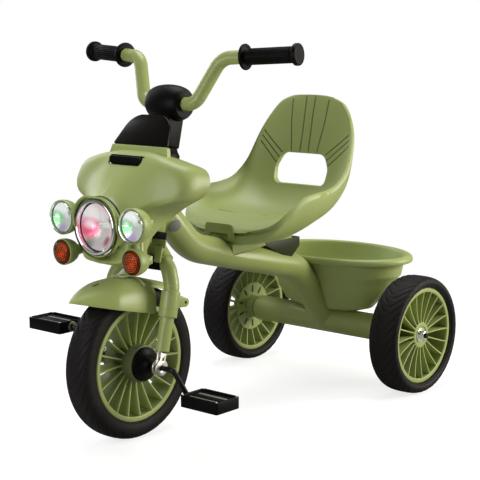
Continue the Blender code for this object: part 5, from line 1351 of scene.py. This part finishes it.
def lens_beads(side, x):
    """Rings of small beads on the amber lens."""
    place = lamp_place(x, LAMP_ABOVE_AXLE - TURN_LAMP_BELOW)
    upright = Matrix.Rotation(-math.pi / 2, 4, "Y")
    lens_rise, lens_reach, sunk = 0.008, 0.0186, 0.0003
    beads = []
    for reach, count in ((0.0038, 6), (0.0072, 12), (0.0106, 18), (0.0138, 24)):
        height = lens_rise * math.sqrt(1 - (reach / lens_reach) ** 2)
        bm = bmesh.new()
        bmesh.ops.create_icosphere(bm, subdivisions=1, radius=0.0011)
        bmesh.ops.translate(bm, vec=(height - sunk, 0, reach), verts=bm.verts)
        beads.append(set_out_round(mesh_of(bm), count, amber_bead))
    mesh = moved(gathered(beads), place @ upright)
    dress(f"turn_beads_{side}", mesh, "steering", amber_bead)


def lamp_bracket(side, sign):
    """An upright strap bolted to the hood's side, with an arm behind each of its two lamps."""
    strap_x, boss_start = 0.0618, 0.0523
    boss = LAMP_ABOVE_AXLE - 0.012
    low = LAMP_ABOVE_AXLE - TURN_LAMP_BELOW
    high = LAMP_ABOVE_AXLE + AUX_LAMP_ABOVE
    back = LAMP_Y + 0.0405
    x = sign * strap_x
    forms = [block((0.003, 0.012, high - low + 0.0145), (x, back, (low + high - 0.0035) / 2))]
    for height, depth in ((high, AUX_LAMP_DEPTH), (low, TURN_LAMP_DEPTH)):
        start = LAMP_Y + depth + GAP
        forms.append(block((AUX_LAMP_X - strap_x + 0.006, 0.005, 0.012),
                           (sign * (AUX_LAMP_X + strap_x + 0.004) / 2, start + 0.0025, height)))
    forms.append(rod(0.0055, (sign * boss_start, back, boss), (x, back, boss)))
    mesh = forms[0]
    for form in forms[1:]:
        mesh = welded(mesh, form)
    dress(f"lamp_strap_{side}", moved(softened(mesh, 0.0007, 2, 40), LEVEL), "steering", green_paint,
          [f"lamp_bracket_{side}"])
    turn = ALONG_X if sign > 0 else ALONG_X @ Matrix.Rotation(math.pi, 4, "X")
    bolt = Matrix.Translation((x + sign * 0.0015, back, boss)) @ turn
    dress(f"lamp_bolt_{side}", moved(screw_head(0.0040, 0.0020), LEVEL @ bolt), "steering", steel)


def side_lamps(side, sign):
    x = sign * AUX_LAMP_X
    side_lamp("aux_lamp", side, x, LAMP_ABOVE_AXLE + AUX_LAMP_ABOVE, radius=0.0275, lens_radius=0.0255,
              rise=0.009, depth=AUX_LAMP_DEPTH, finishes=(aux_bowl, clear, chrome))
    side_lamp("turn_signal", side, x, LAMP_ABOVE_AXLE - TURN_LAMP_BELOW, radius=0.021, lens_radius=0.019,
              rise=0.008, depth=TURN_LAMP_DEPTH, finishes=(turn_bowl, amber, dark_green_and_shade))
    lens_beads(side, x)
    lamp_bracket(side, sign)


# Frame, seat and basket

def main_tube_corners():
    """The main tube's ends and bends, from the head tube down to the rear axle."""
    low = Vector((0, WHEELBASE, REAR_AXLE.z))
    seat_bend = low + Vector((0, -0.0954, 0.1143))
    run = 0.2844
    front_bend = seat_bend + Vector((0, -run, run * TUBE_SLOPE))
    return [HEAD_AXIS @ Vector((0, 0, HEAD_LOW + 0.047)), front_bend, seat_bend, low]


def main_tube(radius, sides=72):
    return sweep(bent_path(main_tube_corners(), [0.10, 0.09], math.radians(3)), radius, sides)


def notch_floor(y):
    """The height of the flat that is cut in the main tube under the seat."""
    seat_bend = main_tube_corners()[2]
    below, slope = 0.0025, 0.07
    return seat_bend.z + (seat_bend.y - POCKET_FRONT) * TUBE_SLOPE - below + (y - POCKET_FRONT) * slope


def main_frame():
    """Head tube, bent main tube with its seat pocket and a plain disc on its side, and the rear axle's
    tube."""
    head = moved(rod(PLAIN_TUBE_RADIUS, (0, 0, HEAD_LOW), (0, 0, HEAD_HIGH), 72), HEAD_AXIS)
    head_bore = moved(rod(0.0163, (0, 0, HEAD_LOW - 0.03), (0, 0, HEAD_HIGH + 0.03), 48), HEAD_AXIS)
    room = moved(rod(0.0282, (0, 0, CROWN_LOW), (0, 0, HEAD_LOW - GAP / 2), 64), HEAD_AXIS)
    axle = Vector((0, WHEELBASE, REAR_AXLE.z))
    reach = Vector((AXLE_TUBE_HALF, 0, 0))
    axle_tube = rod(PLAIN_TUBE_RADIUS, axle - reach, axle + reach, 72)
    axle_bore = rod(0.021, axle - 1.2 * reach, axle + 1.2 * reach, 48)
    back = POCKET_FRONT + 0.094
    front = POCKET_FRONT
    high = notch_floor(back) + 0.05
    pocket = [(front, notch_floor(front)), (back, notch_floor(back)), (back, high),
              (front - 0.020, high), (front - 0.0135, notch_floor(front) + 0.024)]
    notch = moved(plate(pocket, 0.08), SIDE_PLANE)
    mesh = carved(welded(main_tube(MAIN_TUBE_RADIUS), head, axle_tube), room, head_bore, axle_bore, notch)
    mesh = moved(softened(mesh, 0.0006, 2, 45), FLOOR_FRAME)
    dress("main_frame", mesh, "frame", green_paint, ["frame"])
    disc_radius, disc_y, disc_z = 0.0102, 0.0832, 0.3341
    through = rod(disc_radius, (0.006, disc_y, disc_z), (0.040, disc_y, disc_z), 48)
    disc = combined(main_tube(MAIN_TUBE_RADIUS + 0.0007, 144), [through], "INTERSECT")
    dress("plain_disc", moved(disc, FLOOR_FRAME), "frame", grey_plastic)


def head_bushes():
    """The black bushes at both ends of the head tube, each with a sleeve inside it."""
    top = HEAD_HIGH + GAP
    upper = [
        (COLUMN_BORE, top + 0.020), (0.0229, top + 0.020), (0.0235, top + 0.0194),
        (0.0243, top + 0.0165), (0.0282, top + 0.0105), (0.0290, top + 0.0090), (0.0290, top + 0.0008),
        (0.0284, top), (BUSH_RADIUS, top), (BUSH_RADIUS, top - 0.016), (COLUMN_BORE, top - 0.016),
    ]
    low = HEAD_LOW - GAP
    lower = [
        (COLUMN_BORE, low + 0.016), (BUSH_RADIUS, low + 0.016), (BUSH_RADIUS, low), (0.0265, low),
        (0.0270, low - 0.0006), (0.0270, low - 0.010), (0.0262, low - 0.0115), (0.0250, low - 0.012),
        (COLUMN_BORE, low - 0.012),
    ]
    for name, profile, node in (
        ("bush_top", upper, "head_bush_top"),
        ("bush_low", lower, "head_bush_bottom"),
    ):
        dress(name, turned(profile, 72, FORK), "frame", black_plastic, [node])


SEAT_DATUM = Vector((0, SEAT_Y, notch_floor(SEAT_Y) + 0.0275))
BRACKET_TOP = -0.0215


def seat_rows():
    """Stations from the front lip to the top of the back: half width, then (y, z) of the inner
    centre, of the rim and of the outer centre."""
    half = 0.1195
    return [
        (half - 0.0600, -0.0850, 0.0080, -0.0785, 0.0125, -0.0845, 0.0015),
        (half - 0.0230, -0.0760, 0.0165, -0.0620, 0.0250, -0.0755, -0.0105),
        (half - 0.0080, -0.0550, 0.0265, -0.0380, 0.0470, -0.0500, -0.0175),
        (half - 0.0020, -0.0210, 0.0315, -0.0060, 0.0660, -0.0150, -0.0195),
        (half, 0.0110, 0.0190, 0.0240, 0.0715, 0.0190, -0.0155),
        (half - 0.0005, 0.0500, 0.0170, 0.0520, 0.0735, 0.0560, -0.0040),
        (half - 0.0025, 0.0920, 0.0265, 0.0830, 0.0800, 0.1020, 0.0130),
        (half - 0.0040, 0.1225, 0.0520, 0.1090, 0.0960, 0.1340, 0.0430),
        (half - 0.0070, 0.1370, 0.0850, 0.1270, 0.1160, 0.1470, 0.0820),
        (half - 0.0150, 0.1530, 0.1520, 0.1480, 0.1570, 0.1610, 0.1510),
        (half - 0.0290, 0.1600, 0.1870, 0.1610, 0.1890, 0.1670, 0.1870),
        (half - 0.0480, 0.1660, 0.2150, 0.1690, 0.2140, 0.1725, 0.2155),
        (half - 0.0690, 0.1690, 0.2260, 0.1720, 0.2245, 0.1740, 0.2265),
    ]


# One more station, so that the top edge ends narrower and rounder
TOP_ROW = (0.0330, 0.1697, 0.2288, 0.1725, 0.2280, 0.1742, 0.2290)


def mirrored_lines(lines):
    return lines + [[(-x, z) for x, z in line] for line in lines]


# Grooves of the back as (x, z), and creases of the pan as (x, y), from the seat's datum
BACK_GROOVES = mirrored_lines([
    [(0.0094, 0.1270), (0.0092, 0.1500), (0.0092, 0.1800), (0.0098, 0.2260)],
    [(0.0290, 0.1270), (0.0325, 0.1500), (0.0375, 0.1800), (0.0410, 0.2215)],
    [(0.0490, 0.1240), (0.0700, 0.1400), (0.0965, 0.1620)],
    [(0.0540, 0.1148), (0.0740, 0.1315), (0.0985, 0.1525)],
    [(0.0585, 0.1050), (0.0780, 0.1220), (0.1000, 0.1425)],
])
PAN_CREASES = [
    [(-0.0560, -0.0235), (-0.0280, -0.0150), (0, -0.0125), (0.0280, -0.0150), (0.0560, -0.0235)],
]


def seat_lines(shell, radius):
    """Thin bars that follow the seat's inner face along its grooves and creases."""
    bm = bmesh.new()
    bm.from_mesh(shell)
    surface = BVHTree.FromBMesh(bm)
    bm.free()
    bars = []
    for lines, start, look in (
        (BACK_GROOVES, -0.10, Vector((0, 1, 0))),
        (PAN_CREASES, 0.30, Vector((0, 0, -1))),
    ):
        for line in lines:
            path = []
            for first, second in smooth_through(line, 26):
                eye = (first, start, second) if look.y else (first, second, start)
                hit = surface.ray_cast(Vector(eye), look)[0]
                if hit:
                    path.append(hit)
            bars.append(sweep(path, radius, 10))
    return gathered(bars)


def seat_ring(half, inner_y, inner_z, rim_y, rim_z, outer_y, outer_z, steps, turn=math.pi, wall=0.0):
    """One section of the seat: its inner face from side to side, then its outer face back again. With a
    smaller turn and a wall it is the section of the room between the two faces."""
    points = []
    for step in range(steps + 1):
        angle = turn * (step / steps - 0.5)
        across = math.copysign(abs(math.sin(angle)) ** 0.80, angle)
        depth = abs(math.cos(angle)) ** 0.80
        y = rim_y + (inner_y - rim_y) * depth
        z = rim_z + (inner_z - rim_z) * depth - wall
        points.append(Vector((half * across, y, z)))
    for step in range(steps + 1):
        angle = turn * (0.5 - step / steps)
        across = math.copysign(abs(math.sin(angle)) ** 0.87, angle)
        depth = abs(math.cos(angle)) ** 0.87
        edge_z = rim_z - 0.0035
        points.append(Vector(((half + 0.004) * across, rim_y + 0.0035 + (outer_y - rim_y - 0.0035) * depth,
                              edge_z + (outer_z - edge_z) * depth + wall)))
    return points


def tab_outline():
    """The tab under the seat's front edge, notched in the middle of its lower edge."""
    low, high = -0.0040, 0.0225
    half = [(0.0195, low + 0.009), (0.0235, low), (0.0345, low), (0.0295, high)]
    radii = [0.0030, 0.0008, 0.0008, 0.0060]
    return rounded(half + [(-x, z) for x, z in reversed(half)], radii + radii[::-1], 6)


def seat():
    """The bucket seat: a thin-edged shell with a hand opening, grooves with thin dark bars in them that
    paint their shade, a front tab and a foot, and the bracket under it."""
    place = FLOOR_FRAME @ Matrix.Translation(SEAT_DATUM)
    rows = seat_rows()
    shell = loft([seat_ring(*row, 64) for row in smooth_through([*rows, TOP_ROW], 112)])
    groove_radius, groove_shade_radius = 0.0014, 0.0009
    grooves = seat_lines(shell, groove_radius)
    groove_shade = seat_lines(shell, groove_shade_radius)
    half_opening = [(0.0570, 0.0685), (0.0600, 0.0980), (0.0470, 0.1245)]
    corners = half_opening + [(-x, z) for x, z in reversed(half_opening)]
    opening = rounded(corners, [0.013, 0.022, 0.019, 0.019, 0.022, 0.013])
    hole = moved(plate(opening, 0.10), Matrix.Translation((0, 0.155, 0)) @ ALONG_MINUS_Y)
    wall = 0.0045
    hollow_turn = math.radians(104)
    hollow = loft([seat_ring(*row, 20, hollow_turn, wall) for row in smooth_through(rows[2:6], 24)])
    window = block((0.130, 0.1195, 0.030), (0, 0.010, -0.0150))
    tab_at = Matrix.Translation((0, -0.0845, 0)) @ ALONG_MINUS_Y
    tab = softened(moved(plate(tab_outline(), wall), tab_at), 0.0006, 2, 40)
    front = POCKET_FRONT - SEAT_DATUM.y + GAP
    foot = [(front, notch_floor(POCKET_FRONT) - SEAT_DATUM.z + GAP),
            (0.012, notch_floor(SEAT_DATUM.y + 0.012) - SEAT_DATUM.z + GAP), (0.012, BRACKET_TOP),
            (0.086, BRACKET_TOP), (0.086, 0.015), (-0.042, 0.015), (-0.042, -0.012), (front, -0.012)]
    foot = softened(moved(plate(foot, 0.044), SIDE_PLANE), 0.0008, 2, 40)
    mesh = welded(carved(shell, grooves, hole, hollow, window), tab, foot)
    dress("seat_shell", moved(mesh, place), "frame", green_plastic, ["seat"], crisp=48)
    # Thin dark bars sunk in the grooves: painted shade
    sunk = Matrix.Translation((0, 0.0007, -0.0004))
    dress("seat_inlay", moved(groove_shade, place @ sunk), "frame", green_shade)
    top = SEAT_DATUM.z + BRACKET_TOP - GAP
    start = SEAT_DATUM.y + 0.0123
    back = SEAT_DATUM.y + 0.111
    outline = [(start, top), (start, notch_floor(start) + GAP), (SEAT_DATUM.y + 0.043, SEAT_DATUM.z - 0.040),
               (SEAT_DATUM.y + 0.077, SEAT_DATUM.z - 0.056), (SEAT_DATUM.y + 0.087, SEAT_DATUM.z - 0.057),
               (back, SEAT_DATUM.z - 0.038), (back, top)]
    form = moved(plate(outline, 0.040), SIDE_PLANE)
    channel = block((0.034, 0.30, 0.06), (0, SEAT_DATUM.y + 0.240, top - 0.033))
    form = softened(carved(form, channel, main_tube(MAIN_TUBE_RADIUS + GAP, 48)), 0.0006, 2, 40)
    dress("seat_channel", moved(form, FLOOR_FRAME), "frame", dark_green_and_shade, ["seat_bracket"])


def basket():
    """An oval tub with a rolled rim. Its sides are creased over the wheels, its ends run straight down,
    and its lower front is drawn in behind the main tube."""
    low = REAR_AXLE.z + PLAIN_TUBE_RADIUS + GAP
    top = low + 0.105
    rim_low = top - 0.012
    floor_width, floor_depth, body_width, body_depth = 0.068, 0.060, 0.1400, 0.094
    front_tuck = 0.036
    rim_half_width, rim_back = 0.1572, 0.0306
    keys = [(0.0, 0.0, 0.0, 0.0), (0.38, 0.26, 0.10, 0.08), (0.66, 0.50, 0.32, 0.34),
            (0.815, 0.706, 0.61, 0.581), (0.966, 0.897, 0.84, 0.731), (1.0, 1.0, 1.0, 1.0)]
    soft = smooth_through(keys, 40)
    angles = full_turn(128)

    def sharp_at(high):
        for first, second in zip(keys, keys[1:]):
            if high <= second[3] + 1e-9:
                share = (high - first[3]) / (second[3] - first[3])
                return Vector(first).lerp(Vector(second), share)
        return Vector(keys[-1])

    def body_row(share, inset=0.0, lift=0.0):
        points = []
        crease = sharp_at(share[3])
        for angle in angles:
            wide, deep, back, high = share.lerp(crease, math.cos(angle) ** 2)
            x = floor_width + (body_width - floor_width) * wide - inset
            y = floor_depth + (body_depth - floor_depth) * deep - inset
            if math.sin(angle) < 0:
                y -= front_tuck * (1 - share[3])
            points.append(Vector((x * math.cos(angle), WHEELBASE + rim_back * back + y * math.sin(angle),
                                  low + (rim_low - low) * high + lift)))
        return points

    def rim_row(inward, z):
        wide = rim_half_width - inward
        deep = 0.105 - inward * 0.011 / 0.0172
        middle = WHEELBASE + rim_back
        return [Vector((wide * math.cos(angle), middle + deep * math.sin(angle), z)) for angle in angles]

    body = [body_row(share) for share in soft]
    rim = [
        (0.0024, rim_low), (0.0008, rim_low + 0.0010), (0, rim_low + 0.0040), (0.0004, rim_low + 0.0070),
        (0.0022, top - 0.0024), (0.0052, top - 0.0006), (0.0090, top), (0.0135, top - 0.0004),
        (0.0172, top - 0.0016), (0.0188, top - 0.0034), (0.0198, top - 0.0060),
    ]
    inner = [body_row(share, 0.003, 0.001 + 0.002 * (1 - share[3])) for share in reversed(soft[:-1])]
    shell = loft(body + [rim_row(*place) for place in rim] + inner)
    tunnel = main_tube(MAIN_TUBE_RADIUS + GAP, 48)
    cover = combined(main_tube(MAIN_TUBE_RADIUS + GAP + 0.003, 48), [loft(body)], "INTERSECT")
    mesh = moved(softened(carved(welded(shell, cover), tunnel), 0.0004, 2, 60), FLOOR_FRAME)
    dress("basket_tub", mesh, "frame", green_plastic, ["basket"], crisp=28)
    screws = []
    for sign in (1, -1):
        on_floor = Matrix.Translation((sign * 0.032, WHEELBASE, low + 0.0032))
        screws.append(moved(screw_head(0.0050, 0.0026), on_floor))
    dress("basket_screws", moved(gathered(screws), FLOOR_FRAME), "frame", steel)


# Stage, light and camera

def camera():
    """The photograph's view: where it was taken from, and how long its lens is."""
    azimuth, elevation = math.radians(40.442), math.radians(9.031)
    aim = Vector((-math.sin(azimuth) * math.cos(elevation), math.cos(azimuth) * math.cos(elevation),
                  -math.sin(elevation)))
    data = bpy.data.cameras.new("camera")
    data.sensor_width = 36.0
    data.lens = 99.289
    made = new_object("camera", data)
    made.location = (1.465556, -1.450398 + FRONT_AXLE.y, 0.645434)
    made.rotation_euler = aim.to_track_quat("-Z", "Y").to_euler()
    bpy.context.scene.camera = made


def stage_material():
    """A white floor that takes the tricycle's shadow, and plain white to the camera further out."""
    material, tree = new_material("studio_white")
    tree.nodes.remove(tree.nodes["Principled BSDF"])
    place = set_node(tree, "ShaderNodeTexCoord")
    length = set_node(tree, "ShaderNodeVectorMath", "LENGTH")
    far = set_node(tree, "ShaderNodeMapRange", From_Min=0.75, From_Max=1.5)
    surface = set_node(tree, "ShaderNodeBsdfDiffuse", Color=(0.38, 0.38, 0.38, 1))
    lift = set_node(tree, "ShaderNodeEmission", Strength=0.76)
    lit = set_node(tree, "ShaderNodeAddShader")
    white = set_node(tree, "ShaderNodeEmission", Strength=1.0)
    near_far = set_node(tree, "ShaderNodeMixShader")
    path = set_node(tree, "ShaderNodeLightPath")
    whole = set_node(tree, "ShaderNodeMixShader")
    wire(place, "Object", length, 0)
    wire(length, "Value", far, "Value")
    wire(surface, "BSDF", lit, 0)
    wire(lift, "Emission", lit, 1)
    wire(far, "Result", near_far, "Fac")
    wire(lit, "Shader", near_far, 1)
    wire(white, "Emission", near_far, 2)
    wire(path, "Is Camera Ray", whole, "Fac")
    wire(surface, "BSDF", whole, 1)
    wire(near_far, "Shader", whole, 2)
    wire(whole, "Shader", tree.nodes["Material Output"], "Surface")
    return material


def studio():
    """A white floor and surroundings, and four soft lights that the camera doesn't see."""
    bm = bmesh.new()
    bmesh.ops.create_grid(bm, x_segments=1, y_segments=1, size=6)
    floor = new_object("floor", mesh_of(bm, recalc=False))
    floor.data.materials.append(stage_material())
    world = bpy.data.worlds.new("studio")
    bpy.context.scene.world = world
    world.use_nodes = True
    nodes = world.node_tree.nodes
    light = nodes["Background"]
    light.inputs["Color"].default_value = (1, 1, 1, 1)
    light.inputs["Strength"].default_value = 0.15
    seen = set_node(world.node_tree, "ShaderNodeBackground", Color=(1, 1, 1, 1), Strength=1.0)
    path = set_node(world.node_tree, "ShaderNodeLightPath")
    mix = set_node(world.node_tree, "ShaderNodeMixShader")
    wire(path, "Is Camera Ray", mix, "Fac")
    wire(light, "Background", mix, 1)
    wire(seen, "Background", mix, 2)
    wire(mix, "Shader", nodes["World Output"], "Surface")
    for name, place, size, power, tint in (
        ("left", (-1.9, 0.1, 1.1), 1.3, 14.0, (1, 1, 1)),
        ("right", (1.8, 1.5, 0.9), 1.3, 60.0, (1, 0.95, 0.84)),
        ("top", (-0.2, 0.35, 2.2), 1.5, 35.0, (1, 1, 1)),
        ("front", (0.0, -1.30, 0.60), 0.7, 6.5, (1, 1, 1)),
    ):
        data = bpy.data.lights.new(name, "AREA")
        data.energy = power
        data.size = size
        data.color = tint
        lamp = new_object(name, data)
        lamp.location = place
        lamp.visible_camera = False
        lamp.rotation_euler = (Vector((0, 0, 0.3)) - Vector(place)).to_track_quat("-Z", "Y").to_euler()
    bpy.context.scene.view_settings.view_transform = "Standard"


# The tricycle

camera()
studio()
main_frame()
head_bushes()
seat()
basket()
rear_axle()
front_wheel()
crank()
crown()
fender()
clamp_barrel()
handlebar()
fairing()
fairing_bracket()
headlight()
for side_name, side_sign in SIDES.items():
    rear_wheel(side_name, side_sign)
    fork_side(side_name, side_sign)
    grip(side_name, side_sign)
    pedal(side_name, side_sign)
    side_lamps(side_name, side_sign)
